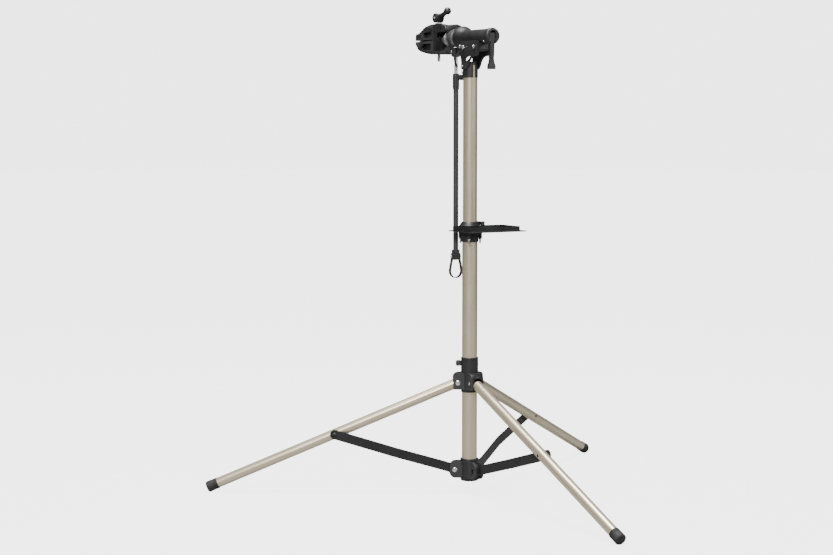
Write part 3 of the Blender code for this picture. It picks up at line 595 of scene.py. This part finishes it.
def trefoil(core, half, reach, fillet, corner):
    """Plan outline of a hub: a round core with three straight-sided lugs blended into it."""
    blend_x = sqrt((core + fillet) ** 2 - (half + fillet) ** 2)
    blend = degrees(atan2(half + fillet, blend_x))
    lug = arc(blend_x, -half - fillet, fillet, 180 - blend, 90)
    lug += arc(reach - corner, corner - half, corner, -90, 0)
    lug += arc(reach - corner, half - corner, corner, 0, 90)
    lug += arc(blend_x, half + fillet, fillet, 270, 180 + blend)
    lug += arc(0.0, 0.0, core, blend, 120 - blend)[1:-1]
    points = []
    for azimuth in (60.0, 180.0, 300.0):
        turn = Matrix.Rotation(radians(azimuth), 2)
        points += [tuple(turn @ Vector(point)) for point in lug]
    return points


# ---------------------------------------------------------------- mast and lower hub

def make_mast():
    profile = [(17.8, 50.0), (18.7, 50.0), (19.0, 50.3), (19.0, 629.7), (18.7, 630.0), (17.8, 630.0)]
    piece("outer_tube_skin", lathe(profile, ring=True), ANODISED_Z, "mast", ["outer_tube"])

    collar = [(0.0, 32.0), (20.6, 32.0), (21.6, 33.0), (22.6, 39.0), (23.0, 41.5), (23.0, 44.0), (22.5, 44.6),
              (22.5, 45.4), (23.0, 46.0), (23.0, 82.6), (22.5, 83.2), (22.5, 84.0), (23.0, 84.6),
              (23.0, 86.0), (22.4, 87.4), (21.2, 88.0), (19.3, 88.0), (19.3, 49.7), (0.0, 49.7)]
    side = [(0.0, 39.5)] + arc(36.5, 53.0, 13.5, -90, 0, 10)
    side += arc(36.5, 67.5, 13.5, 0, 90, 10) + [(0.0, 81.0)]
    lugs = boolean(prism(trefoil(22.8, 12.0, 50.5, 7.0, 2.0), 39.0, 82.0, "Z"), lathe(side), "INTERSECT")
    lugs = boolean(soften(lugs, 1.1, 3), cylinder(19.4, 49.7, 95.0))
    pivot = (STRUT_PIVOT_R, 0.0, STRUT_PIVOT_Z)
    for azimuth in SPOKES.values():
        slot = block((24.3, 70.0), (-2.3, 2.3), (30.0, 95.0))
        bore = cylinder(3.3, -20.0, 20.0, 32, "Y", pivot)
        recess = lathe([(0.0, -20.0), (5.6, -20.0), (5.2, -8.9), (0.0, -8.9)], 32, "Y", pivot)
        for tool in (slot, bore, recess):
            lugs = boolean(lugs, turned_about_z(tool, azimuth))
    piece("lower_hub_body", joined(lathe(collar), lugs), PLASTIC, "mast", ["lower_hub"])

    plug = lathe([(0.0, 30.6), (13.0, 30.6), (14.0, 31.4), (14.0, 32.6), (0.0, 32.6)])
    piece("lower_hub_plug", plug, PLASTIC, "mast")
    for name, azimuth in SPOKES.items():
        bolt = raised(button_head(6.2, 3.1, 3.0, 20.9), 12.3)
        shape = turned_about_z(lay(bolt, "Y", pivot), azimuth)
        piece("strut_bolt_" + name + "_head", shape, ZINC, "mast", ["strut_bolt_" + name])


# ---------------------------------------------------------------- legs and struts

def leg_frame(name):
    joint = JOINTS["leg_" + name + "_fold"]
    turn = Matrix.Rotation(radians(SPOKES[name]), 4, "Z") @ Matrix.Rotation(radians(LEG_SLOPE), 4, "Y")
    return Matrix.Translation(joint["pos_m"]) @ turn


def make_leg(name):
    matrix = leg_frame(name)
    body = "leg_" + name + "_body"
    end = LEG_LENGTH - 3.0
    inside = LEG_R - 1.2
    profile = [(inside, 10.0), (LEG_R - 0.3, 10.0), (LEG_R, 10.3), (LEG_R, end), (inside, end)]
    tube = lathe(profile, 80, "X", ring=True)
    piece("leg_" + name + "_tube", tube, ANODISED_X, body, ["leg_" + name], matrix)
    plug = [(0.0, 6.0), (9.4, 6.0), (10.6, 6.6), (12.4, 8.0), (12.4, 10.0), (11.2, 10.0), (11.2, 26.0),
            (0.0, 26.0)]
    eye = arc(0.0, 0.0, 5.8, 90, 270, 14) + [(8.5, -5.8), (8.5, 5.8)]
    tongue = soften(prism(eye, -9.0, 9.0), 0.6)
    piece("leg_" + name + "_plug", joined(lathe(plug, 64, "X"), tongue), PLASTIC, body, (), matrix)

    start = LEG_LENGTH - 29.5
    cap = [(12.6, start), (13.3, start), (13.8, start + 0.5), (13.8, start + 2.2), (13.3, start + 2.7)]
    for ridge in range(3):
        low = start + 3.6 + ridge * 2.6
        cap += [(13.3, low), (13.75, low + 0.4), (13.75, low + 1.3), (13.3, low + 1.7)]
    cap += [(13.3, start + 12.0), (13.9, start + 13.4), (14.0, LEG_LENGTH - 4.0)]
    cap += [(radius, x) for x, radius in arc(LEG_LENGTH - 4.0, 10.0, 4.0, 90, 0, 8)]
    cap += [(0.0, LEG_LENGTH), (0.0, end + 0.3), (12.6, end + 0.3)]
    shape = lathe(cap + [cap[0]], 80, "X")
    slope = Matrix.Rotation(radians(LEG_SLOPE), 4, "Y")
    floor_point = slope.inverted() @ Vector((0.0, 0.0, -HUB_Z))
    floor_normal = slope.inverted() @ Vector((0.0, 0.0, -1.0))
    cut = bmesh.ops.bisect_plane(shape, geom=shape.verts[:] + shape.edges[:] + shape.faces[:], dist=1e-5,
                                 plane_co=floor_point, plane_no=floor_normal, clear_outer=True)
    rim = [item for item in cut["geom_cut"] if isinstance(item, bmesh.types.BMEdge)]
    bmesh.ops.holes_fill(shape, edges=rim)
    piece("foot_cap_" + name + "_moulding", outward(shape), RUBBER, body, ["foot_cap_" + name], matrix)

    grommet = [(0.0, 12.0), (3.4, 12.0), (3.4, 12.75), (2.9, 13.05), (2.0, 13.05), (1.6, 12.6), (0.0, 12.6)]
    dimple = lathe(grommet, 32, "Y")
    dimple.transform(Matrix.Translation((STRUT_ON_LEG, 0.0, 0.0)) @ Matrix.Rotation(pi, 4, "Z"))
    piece("leg_" + name + "_grommet", dimple, PLASTIC, body, (), matrix)

    bolt = raised(button_head(6.4, 3.1, 3.0, 17.0), 17.3)
    tail = raised(upside_down(button_head(3.8, 2.6, 2.9, 18.0)), -17.3)
    shape = turned_about_z(lay(joined(bolt, tail), "Y", (LEG_PIVOT_R, 0.0, HUB_Z)), SPOKES[name])
    piece("leg_bolt_" + name + "_heads", shape, ZINC, "hub", ["leg_bolt_" + name])


def make_strut(name):
    body = "strut_" + name + "_body"
    piece("strut_" + name + "_bar", from_node("strut_" + name, 0.7, 3), COATED, body, ["strut_" + name])
    low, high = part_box("strut_rivet_" + name)
    joint = JOINTS["strut_" + name + "_fold"]
    matrix = Matrix.Translation(joint["pos_m"]) @ Matrix.Rotation(radians(SPOKES[name]), 4, "Z")
    centre = matrix.inverted() @ ((low + high) / 2)
    head_y = LEG_R + 0.8 + STRUT_THICKNESS + 0.3
    profile = [(0.0, 12.8), (3.0, 12.8), (3.0, head_y), (5.0, head_y), (5.0, head_y + 0.6),
               (4.4, head_y + 1.7), (3.0, head_y + 2.5), (1.2, head_y + 2.75), (0.0, head_y + 2.75)]
    rivet = lathe(profile, 40, "Y", (centre.x / MM, 0.0, centre.z / MM))
    piece("strut_rivet_" + name + "_head", rivet, COATED, body, ["strut_rivet_" + name], matrix)


# ---------------------------------------------------------------- upper hub

def band_lever(pivot, inner, sweep, width=5.0):
    """A quick lever wrapped round the mast, in its own frame with Z up and its pivot at the origin."""
    px, py = pivot
    start = degrees(atan2(py, px))
    outer_points, inner_points = [], []
    count = 20
    for k in range(count + 1):
        share = k / count
        angle = radians(start - (sweep * share + 3.0 * (1 - share) * (1 if sweep > 0 else -1)))
        thick = width * (0.72 + 0.28 * cos(tau * share) ** 2)
        outer_points.append(((inner + thick) * cos(angle), (inner + thick) * sin(angle)))
        inner_points.append((inner * cos(angle), inner * sin(angle)))
    band = soften(prism(outer_points + inner_points[::-1], -4.4, 4.4, "Z"), 1.1, 3)
    band.transform(Matrix.Translation((-px, -py, 0.0)))
    boss = lathe([(0.0, -4.9), (4.3, -4.9), (5.0, -4.3), (5.0, 4.3), (4.3, 4.9), (0.0, 4.9)], SMALL_ROUND)
    return joined(band, boss)


def make_upper_hub():
    low, high = HUB_Z - 23.5, HUB_Z + 62.9
    ring = [(19.3, low), (21.0, low), (21.6, low + 0.8), (21.6, low + 2.4), (21.2, low + 2.8),
            (21.2, low + 3.4), (21.6, low + 3.8), (21.6, high - 6.0), (21.2, high - 5.5), (21.2, high - 4.9),
            (21.6, high - 4.4), (21.6, high - 0.8), (21.0, high), (19.3, high)]
    split = turned_about_z(block((15.0, 30.0), (-1.2, 1.2), (HUB_Z + 30.0, high + 5.0)), SPOKES["L"])
    shapes = [boolean(lathe(ring, ring=True), split)]
    side = [(0.0, -16.5)] + arc(41.5, -15.5, 1.0, -90, 0, 4)
    side += arc(31.5, 13.5, 11.0, 0, 90, 14) + [(0.0, 24.5)]
    lugs = boolean(prism(trefoil(21.2, 17.0, 43.0, 6.0, 6.0), -17.0, 25.0, "Z"), lathe(side), "INTERSECT")
    lugs = soften(lugs, 1.1, 3)
    lugs = boolean(lugs, cylinder(19.4, -40.0, 40.0))
    for azimuth in SPOKES.values():
        slot = prism([(-13.0, -30.0), (13.0, -30.0)] + arc(0.0, 0.6, 13.0, 0, 180, 16), 22.1, 60.0)
        slot.transform(Matrix.Rotation(-pi / 2, 4, "Z"))
        lugs = boolean(lugs, turned_about_z(slot, azimuth))
    shapes.append(raised(lugs, HUB_Z))
    ear = rounded((20.4, 34.4), (HUB_Z + 41.5, HUB_Z + 54.5), 4.0)
    for side in (1, -1):
        plate = prism(ear, *sorted((1.6 * side, 6.6 * side)))
        shapes.append(turned_about_z(soften(plate, 0.7), SPOKES["L"]))
    piece("upper_hub_body", joined(*shapes), PLASTIC, "hub", ["upper_hub"])

    lock_z = HUB_Z + 48.0
    cone = [(0.0, -11.1), (2.2, -11.1), (2.5, -10.8), (2.5, 6.9), (4.6, 6.9), (4.6, 8.2), (3.9, 10.7),
            (3.6, 11.0), (2.3, 11.0), (2.0, 10.7), (2.0, 8.6), (0.0, 8.6)]
    shape = lay(lathe(cone, SMALL_ROUND), "Y", (27.5, 0.0, lock_z))
    piece("lock_bolt_nut", turned_about_z(shape, SPOKES["L"]), DULL, "hub", ["lock_bolt"])

    pivot = Vector((27.5, -16.5, lock_z)) * MM
    matrix = MAST @ Matrix.Rotation(radians(SPOKES["L"]), 4, "Z") @ Matrix.Translation(pivot)
    lever = band_lever((27.5, -16.5), 24.6, 69.0)
    piece("hub_lever_band", lever, PLASTIC, "hub_lock", ["hub_lever"], matrix)


# ---------------------------------------------------------------- mast clamp and tray

EARS = (25.0, 145.0, 265.0)
EAR_R = 28.0


def make_mast_clamp():
    profile = [(19.3, 628.5), (20.6, 628.5), (21.3, 629.4), (21.3, 634.0), (20.9, 634.5), (20.9, 635.2),
               (21.3, 635.7), (21.3, 659.0), (20.9, 659.5), (20.9, 660.2), (21.3, 660.7), (21.3, 665.8),
               (20.6, 666.6), (17.9, 666.6), (17.9, 630.4), (19.3, 630.4)]
    shapes = [lathe(profile, ring=True)]
    for angle in EARS:
        boss = lathe([(2.8, 637.0), (4.4, 637.0), (5.0, 637.6), (5.0, 652.0), (4.4, 652.6), (2.8, 652.6)],
                     SMALL_ROUND, "Z", (EAR_R, 0.0, 0.0), ring=True)
        web = soften(block((20.6, 25.0), (-3.0, 3.0), (639.0, 651.5)), 0.8)
        shapes.append(turned_about_z(joined(boss, web), angle))
    piece("mast_clamp_body", joined(*shapes), PLASTIC, "mast", ["mast_clamp"])

    ring = [(17.9, 667.0), (25.6, 667.0), (26.4, 667.6), (26.4, 669.0), (25.8, 669.8), (20.6, 677.2),
            (19.6, 678.0), (17.9, 678.0)]
    split = turned_about_z(block((10.0, 32.0), (-1.5, 1.5), (660.0, 690.0)), 236.0)
    piece("clamp_ring_cone", boolean(lathe(ring, ring=True), split), PLASTIC, "mast", ["clamp_ring"])
    lever_angle = 248.0
    pivot = Vector((32.0 * cos(radians(lever_angle)), 32.0 * sin(radians(lever_angle)), 673.8)) * MM
    matrix = MAST @ Matrix.Translation(pivot) @ Matrix.Rotation(radians(lever_angle), 4, "Z")
    lever = band_lever((32.0, 0.0), 28.1, -94.0)
    piece("clamp_lever_band", lever, PLASTIC, "mast_lever", ["clamp_lever"], matrix)

    piece("tray_pan", from_node("tray", 0.45, 3), COATED, "mast", ["tray"])
    for k, angle in enumerate(EARS):
        shank = [(0.0, 624.0)] + thread(2.5, 624.3, 636.0, 0.9, 0.35) + [(2.4, 655.0), (0.0, 655.0)]
        head = raised(button_head(4.2, 2.8), 655.4)
        nut = raised(upside_down(hex_nut(4.2, 3.6, 2.2)), 636.8)
        shape = moved(joined(lathe(shank, 24), head, nut), Matrix.Translation((EAR_R, 0.0, 0.0)))
        letter = "ABC"[k]
        name = "tray_screw_" + letter
        piece(name + "_head", turned_about_z(shape, angle), ZINC, "mast", [name])


# ---------------------------------------------------------------- inner mast, bracket and arm

FLARE = [(18.25, -91.4), (18.25, 0.0), (19.2, 8.0), (21.5, 15.0), (24.6, 21.0), (27.4, 27.0), (28.6, 31.0)]
BOLTS = {"front": 1.0, "rear": -50.0}
BOLT_Z = 1105.0


def make_inner_mast():
    low, high = 450.0, 1064.0
    outer, inner = [], []
    for k in range(ROUND):
        angle = tau * k / ROUND
        from_groove = min(abs(angle - pi), 1.0) * INNER_TUBE_R
        dip = 0.0
        if from_groove < GROOVE_HALF:
            dip = GROOVE_DEPTH * max(0.0, cos(pi / 2 * from_groove / GROOVE_HALF))
        outer.append(((INNER_TUBE_R - dip) * cos(angle), (INNER_TUBE_R - dip) * sin(angle)))
        inner.append(((INNER_TUBE_HOLE_R - dip) * cos(angle), (INNER_TUBE_HOLE_R - dip) * sin(angle)))
    bm = bmesh.new()
    rows = [[bm.verts.new((x, y, z)) for x, y in ring]
            for ring, z in ((outer, low), (outer, high), (inner, high), (inner, low))]
    for row, following in zip(rows, rows[1:] + rows[:1]):
        for k in range(ROUND):
            after = (k + 1) % ROUND
            bm.faces.new((row[k], row[after], following[after], following[k]))
    piece("inner_tube_skin", outward(bm), ANODISED_Z, "inner_mast", ["inner_tube"])

    window = [(-4.0, 1073.0), (-5.0, 1077.0), (-9.0, 1080.5), (-18.0, 1082.5), (-35.0, 1083.5),
              (-29.0, 1080.0), (-23.0, 1076.0), (-16.0, 1072.6), (-10.0, 1071.0), (-6.0, 1071.0)]
    bracket = boolean(from_node("neck_bracket", 0.7), prism(window, 10.0, 30.0))
    bracket = boolean(bracket, block((-20.0, 20.0), (-13.9, 13.9), (1070.4, 1100.0)))
    piece("neck_bracket_body", bracket, PLASTIC, "inner_mast", ["neck_bracket"])
    screws = []
    for height, angle, size, seat in ((1045.0, 70.0, 4.5, 19.3), (1060.0, 72.0, 3.2, 18.6)):
        screw = raised(button_head(size, 3.0, 1.6, 1.0), seat)
        screws.append(turned_about_z(lay(screw, "X", (0.0, 0.0, height)), angle))
    piece("neck_screw_heads", joined(*screws), ZINC, "inner_mast", ["neck_screw"])

    for name, x in BOLTS.items():
        near = raised(button_head(4.6, 3.1, 3.0, 20.0), 20.3)
        far = raised(upside_down(button_head(4.6, 3.1, 3.0, 20.0)), -20.3)
        shape = lay(joined(near, far), "Y", (x, 0.0, BOLT_Z))
        piece("arm_bolt_" + name + "_heads", shape, ZINC, "inner_mast", ["arm_bolt_" + name])

    shell = [(8.0, -92.0), (17.6, -92.0)] + FLARE + [(28.8, 32.4), (28.8, 39.2), (28.3, 40.4), (27.4, 41.0),
                                                       (12.0, 41.0), (12.0, -60.0), (8.0, -60.0)]
    shapes = [lathe(shell, ROUND, "X", (0.0, 0.0, ARM_Z), ring=True)]
    lug = soften(prism(rounded((-66.0, 14.0), (1094.0, 1118.0), 6.0), -13.6, 13.6), 1.0)
    shapes.append(lug)
    chin = [(8.0, 1119.0), (36.0, 1116.0), (40.0, 1103.0), (36.0, 1098.5), (22.0, 1096.5), (8.0, 1098.0)]
    shapes.append(soften(prism(chin, -16.5, 16.5), 1.8, 3))
    for low, high in ((8.0, 19.6), (-19.6, -8.0)):
        boss = [(0.0, low), (5.6, low), (6.2, low + 0.6), (6.2, high - 0.6), (5.6, high), (0.0, high)]
        shapes.append(lathe(boss, SMALL_ROUND, "Y", BARREL_BOLT))
    piece("arm_barrel_body", joined(*shapes), PLASTIC, "inner_mast", ["arm_barrel"])

    heads = []
    for side in (0.0, pi):
        head = raised(button_head(4.4, 2.6, 2.0, 1.0), 19.6)
        heads.append(moved(lay(head, "Y"), Matrix.Translation(BARREL_BOLT) @ Matrix.Rotation(side, 4, "X")))
    piece("barrel_bolt_heads", joined(*heads), ZINC, "inner_mast")

    end = [(4.0, -92.3), (18.9, -92.3), (19.5, -93.0), (19.8, -94.4), (19.8, -103.6), (19.3, -105.8),
           (18.2, -107.6), (16.6, -108.6), (15.0, -109.0), (13.2, -108.9), (12.6, -107.4), (4.0, -107.4)]
    cap = lathe(end, ROUND, "X", (0.0, 0.0, ARM_Z), ring=True)
    cap = boolean(cap, block((-120.0, -93.4), (-7.0, 7.0), (1090.0, 1142.0)))
    shapes = [cap]
    for side in (1, -1):
        for k in range(3):
            y = side * (8.8 + 2.2 * k)
            rib = block((-108.6, -106.8), (y - 0.5, y + 0.5), (ARM_Z - 9.0, ARM_Z + 9.0))
            shapes.append(soften(rib, 0.2))
    piece("arm_end_cap_shell", joined(*shapes), PLASTIC, "inner_mast", ["arm_end_cap"])

    washer = [(12.2, 41.3), (23.2, 41.3), (24.0, 42.0), (24.0, 43.9), (23.2, 44.6), (12.2, 44.6)]
    shape = lathe(washer, ROUND, "X", (0.0, 0.0, ARM_Z), ring=True)
    piece("friction_washer_ring", shape, RUBBER, "inner_mast", ["friction_washer"])
    piece("lever_pin_turned", pin(2.5, 12.5, 0.7, LEVER_PIVOT), ZINC, "inner_mast", ["lever_pin"])
    set_screw = lay(raised(button_head(2.6, 1.6, 1.4, 2.0), 17.6), "Y")
    set_screw.transform(Matrix.Translation((-86.0, 0.0, ARM_Z)) @ Matrix.Rotation(radians(-42.0), 4, "X"))
    piece("barrel_set_screw", set_screw, ZINC, "inner_mast")


def make_arm_lever():
    piece("arm_lever_grip", from_node("arm_lever", 1.3, 3), PLASTIC, "arm_release", ["arm_lever"])


# ---------------------------------------------------------------- clamp

def make_clamp():
    drum = [(4.6, -35.0), (11.2, -35.0), (11.6, -34.6), (11.6, 45.0), (20.4, 45.0), (DRUM_R, 45.6)]
    for x in (49.0, 52.0, 88.0, 91.0):
        drum += [(DRUM_R, x), (20.7, x + 0.3), (20.7, x + 0.9), (DRUM_R, x + 1.2)]
    drum += [(DRUM_R, 96.6), (20.6, 98.2), (19.2, 100.2), (11.4, 120.2), (10.6, 121.0), (9.0, 121.0),
             (9.0, 62.0), (4.6, 62.0)]
    shape = lathe(drum, ROUND, "X", (0.0, 0.0, ARM_Z), ring=True)
    piece("clamp_shaft_drum", shape, TURNED, "clamp", ["clamp_shaft"])

    jaw = from_node("lower_jaw", 1.2, 3)
    oval = [(2.3 * cos(tau * k / 24), 4.2 * sin(tau * k / 24)) for k in range(24)]
    for low, high in ((23.0, 30.0), (-30.0, -23.0)):
        eye = prism(oval, low, high)
        eye.transform(Matrix.Translation((135.0, 0.0, 1147.5)) @ Matrix.Rotation(radians(-24.0), 4, "Y"))
        jaw = boolean(jaw, eye)
    for low, high in ((12.0, 27.0), (-27.0, -12.0)):
        jaw = boolean(jaw, block((119.0, 129.4), (low, high), (1100.0, 1137.0)))
    ledge = block((146.0, 193.0), (-20.0, 20.0), (1126.0, 1128.6))
    ledge = boolean(ledge, cylinder(4.6, 1120.0, 1135.0, 40, "Z", (SPINDLE_X, 0.0, 0.0)))
    brow = [(130.0, 1147.0), (130.0, 1160.0), (118.0, 1164.2), (106.0, 1165.4), (93.0, 1164.6),
            (84.5, 1161.5), (79.5, 1157.0), (78.0, 1152.0), (79.0, 1148.5), (84.0, 1147.0)]
    hood = [soften(prism(brow, *sorted((side * 20.7, side * 24.8))), 1.2, 3) for side in (1, -1)]
    arch = arc(0.0, ARM_Z, 32.0, 48, 132, 16) + arc(0.0, ARM_Z, 25.0, 132, 48, 16)
    arch = moved(prism(arch, -92.5, -79.5), Matrix.Rotation(pi / 2, 4, "Z"))
    jaw = joined(jaw, ledge, soften(arch, 1.0, 3), *hood)
    piece("lower_jaw_body", jaw, PLASTIC, "clamp", ["lower_jaw"])
    piece("upper_jaw_body", from_node("upper_jaw", 1.2, 3), PLASTIC, "moving_jaw", ["upper_jaw"])
    for name, body, direction in (("lower_pad", "clamp", -1), ("upper_pad", "moving_jaw", 1)):
        piece(name + "_ribbed", ribbed_pad(direction), RUBBER, body, [name])

    piece("jaw_pin_turned", pin(3.0, 24.8, 0.6, JAW_PIVOT), COATED, "clamp", ["jaw_pin"])

    washer = [(4.4, 1169.4), (9.2, 1169.4), (9.5, 1169.7), (9.5, 1171.1), (9.2, 1171.4), (4.4, 1171.4)]
    piece("thrust_washer_ring", lathe(washer, SMALL_ROUND, "Z", (SPINDLE_X, 0.0, 0.0), ring=True), ZINC,
          "thrust_block", ["thrust_washer"])
    screw = [(0.0, 1075.0), (3.2, 1075.0), (3.9, 1075.7), (3.9, 1109.0)]
    screw += thread(3.9, 1109.6, 1168.0, 1.4, 0.45)
    screw += [(3.9, 1169.0), (3.9, 1185.4), (3.3, 1186.0), (0.0, 1186.0)]
    cross_pin = pin(3.0, 14.5, 0.6, (0.0, 0.0, CAM_Z))
    shape = moved(joined(lathe(screw, 40), cross_pin), Matrix.Translation((SPINDLE_X, 0.0, 0.0)))
    piece("spindle_screw", shape, CHROME_Z, "screw", ["spindle"])

    rise = Matrix.Rotation(pi + radians(CAM_LEVER_RISE), 4, "Y")
    along_lever = Matrix.Translation((SPINDLE_X, 0.0, CAM_Z)) @ rise
    cone = [(0.0, 9.5), (7.9, 9.5), (7.4, 13.0), (6.4, 19.0), (5.8, 26.0), (5.6, 38.0), (0.0, 38.0)]
    neck = lathe(cone, SMALL_ROUND, "X")
    cam = joined(from_node("cam_lever", 0.9, 3), moved(neck, along_lever))
    piece("cam_lever_arm", cam, PLASTIC, "cam", ["cam_lever"])
    profile = [(0.0, -BALL_R)]
    for k in range(1, 24):
        angle = pi * k / 24
        groove = 0.25 if k == 12 else 0.0
        profile.append(((BALL_R - groove) * sin(angle), -BALL_R * cos(angle)))
    ball = lathe(profile + [(0.0, BALL_R)], 64)
    ball.transform(along_lever @ Matrix.Translation((BALL_REACH, 0.0, 0.0)))
    piece("ball_knob_moulding", ball, PLASTIC, "cam", ["ball_knob"])


def ribbed_pad(direction):
    """A jaw pad that fills its notch, with fine ridges across its gripping face."""
    base = SPLIT_Z + direction * 1.2
    ridges = 11
    pitch = (PAD_TIP - PAD_ROOT) / ridges
    face = []
    for k in range(ridges):
        start = PAD_TIP - pitch * k
        level = base - direction * (1.0 if start < 216.0 else 0.0)
        face += [(start, level), (start - pitch * 0.5, level), (start - pitch * 0.6, level + direction * 1.1),
                 (start - pitch * 0.9, level + direction * 1.1)]
    outline = face + [(PAD_ROOT, base), (212.0, base + direction * 10.7)]
    return prism(outline, -24.5, 24.5)


# ---------------------------------------------------------------- stabiliser rod

def make_rod():
    centre = Matrix.Translation((ROD_X, 0.0, 0.0))
    ring_r = DRUM_R + 0.6 + 1.1
    path = [(9.6, 1086.0), (9.6, 1102.0)]
    path += [(y, ARM_Z + z) for y, z in arc(0.0, 0.0, ring_r, -62, 242, 48)]
    path += [(-9.6, 1102.0), (-9.6, 1086.0)]
    loop = strap(dense(path, 2.0), (-6.0, 6.0), 2.2)
    tail_path = [(9.6, 1103.0), (9.6, 1083.0), (9.2, 1078.0), (8.2, 1072.0), (6.4, 1066.5), (4.0, 1062.0),
                 (1.2, 1058.5)]
    holes = [(9.5, 1088.0, 0.0), (9.3, 1080.5, 3.0), (8.4, 1073.5, 14.0), (6.2, 1066.8, 30.0)]
    tail = strap(dense(tail_path, 1.5), (-13.5, -5.2), 2.2, holes, 1.5)
    piece("upper_strap_band", moved(joined(loop, tail), centre), WEB, "rod_hanger", ["upper_strap"])

    yoke = soften(block((-5.8, 5.8), (-8.2, 8.2), (1084.0, 1101.0)), 1.4, 3)
    saddle = soften(block((-5.8, 5.8), (-8.4, 8.4), (1099.0, 1107.3)), 0.6)
    stud = [(0.0, -7.0), (3.6, -7.0), (3.6, -12.9), (2.8, -13.8), (0.0, -13.8)]
    boss = lathe(stud, 32, "Y", (0.0, 0.0, 1094.0))
    piece("upper_yoke_body", moved(joined(yoke, saddle, boss), centre), PLASTIC, "rod_hanger", ["upper_yoke"])
    head = raised(button_head(3.9, 2.4, 1.8, 3.0), 10.7)
    piece("upper_yoke_screw", moved(lay(head, "Y", (4.0, 0.0, 1097.0)), centre), ZINC, "rod_hanger")

    inner = [(0.0, 650.0), (3.9, 650.0), (4.5, 650.6), (4.5, 1092.0), (0.0, 1092.0)]
    piece("rod_inner_bar", moved(lathe(inner, 64), centre), CHROME_Z, "rod_hanger", ["rod_inner"])
    outer = [(4.8, 597.0), (6.2, 597.0), (6.5, 597.3), (6.5, 1019.7), (6.2, 1020.0), (4.8, 1020.0)]
    piece("rod_outer_sleeve", moved(lathe(outer, 64, ring=True), centre), COATED, "rod_slider", ["rod_outer"])
    collar = [(6.8, 1004.0), (7.6, 1004.0), (8.2, 1004.8), (8.2, 1008.0), (7.8, 1008.5), (7.8, 1009.2),
              (8.2, 1009.7), (8.2, 1039.0), (7.8, 1039.5), (7.8, 1040.2), (8.2, 1040.7), (8.2, 1042.2),
              (7.6, 1043.0), (4.8, 1043.0), (4.8, 1020.3), (6.8, 1020.3)]
    stud = [(2.8, -6.5), (5.0, -6.5), (5.0, -11.0), (4.5, -11.5), (2.8, -11.5)]
    boss = lathe(stud, 40, "Y", (0.0, 0.0, 1034.0), ring=True)
    piece("rod_collar_body", moved(joined(lathe(collar, 72, ring=True), boss), centre), PLASTIC, "rod_slider",
          ["rod_collar"])

    star = []
    for k in range(72):
        angle = tau * k / 72
        reach = 6.9 + 0.75 * cos(6 * angle)
        star.append((reach * cos(angle), reach * sin(angle)))
    knob = soften(prism(star, -21.0, -12.0), 0.7, 3, 50.0)
    shank = lathe([(0.0, -12.0), (2.5, -12.0), (2.5, -5.2), (2.2, -5.0), (0.0, -5.0)], 32, "Y")
    shape = moved(joined(knob, shank), Matrix.Translation((ROD_X, 0.0, 1034.0)))
    piece("thumbscrew_star", shape, PLASTIC, "rod_screw", ["thumbscrew"])

    lower = soften(block((-5.8, 5.8), (-8.8, 8.8), (579.0, 605.0)), 1.5, 3)
    piece("lower_yoke_body", moved(lower, centre), PLASTIC, "rod_slider", ["lower_yoke"])
    heads = []
    for side in (0.0, pi):
        head = raised(button_head(3.6, 2.6, 2.0, 6.0), 12.2)
        heads.append(moved(lay(head, "Y"), Matrix.Translation((0, 0, 587.0)) @ Matrix.Rotation(side, 4, "X")))
    piece("lower_yoke_screws", moved(joined(*heads), centre), ZINC, "rod_slider")

    path = [(10.4, 596.0), (10.4, 584.0), (11.5, 577.0), (14.0, 567.0)]
    path += arc(0.0, 551.0, 16.6, 20, -200, 36)
    path += [(-14.0, 567.0), (-11.5, 577.0), (-10.4, 584.0), (-10.4, 596.0)]
    holes = []
    for k in range(5):
        angle = 192.0 - 22.0 * k
        y, z = 16.6 * cos(radians(angle)), 551.0 + 16.6 * sin(radians(angle))
        holes.append((y, z, angle))
    holes += [(-13.0, 571.0, 194.0), (-11.3, 578.0, 190.0)]
    band = strap(dense(path, 2.0), (-5.5, 5.5), 2.2, holes, 1.5)
    piece("lower_strap_loop", moved(band, centre), WEB, "rod_slider", ["lower_strap"])


def dress_cad_nodes():
    """Give the CAD nodes that still show the same finishes as the pieces."""
    for node, item in NODES.items():
        if item.hide_render:
            continue
        item.data.materials.clear()
        item.data.materials.append(ZINC if node == "draw_rod" else PLASTIC)


make_camera()
make_studio()
make_mast()
for spoke in SPOKES:
    make_leg(spoke)
    make_strut(spoke)
make_upper_hub()
make_mast_clamp()
make_inner_mast()
make_arm_lever()
make_clamp()
make_rod()
dress_cad_nodes()
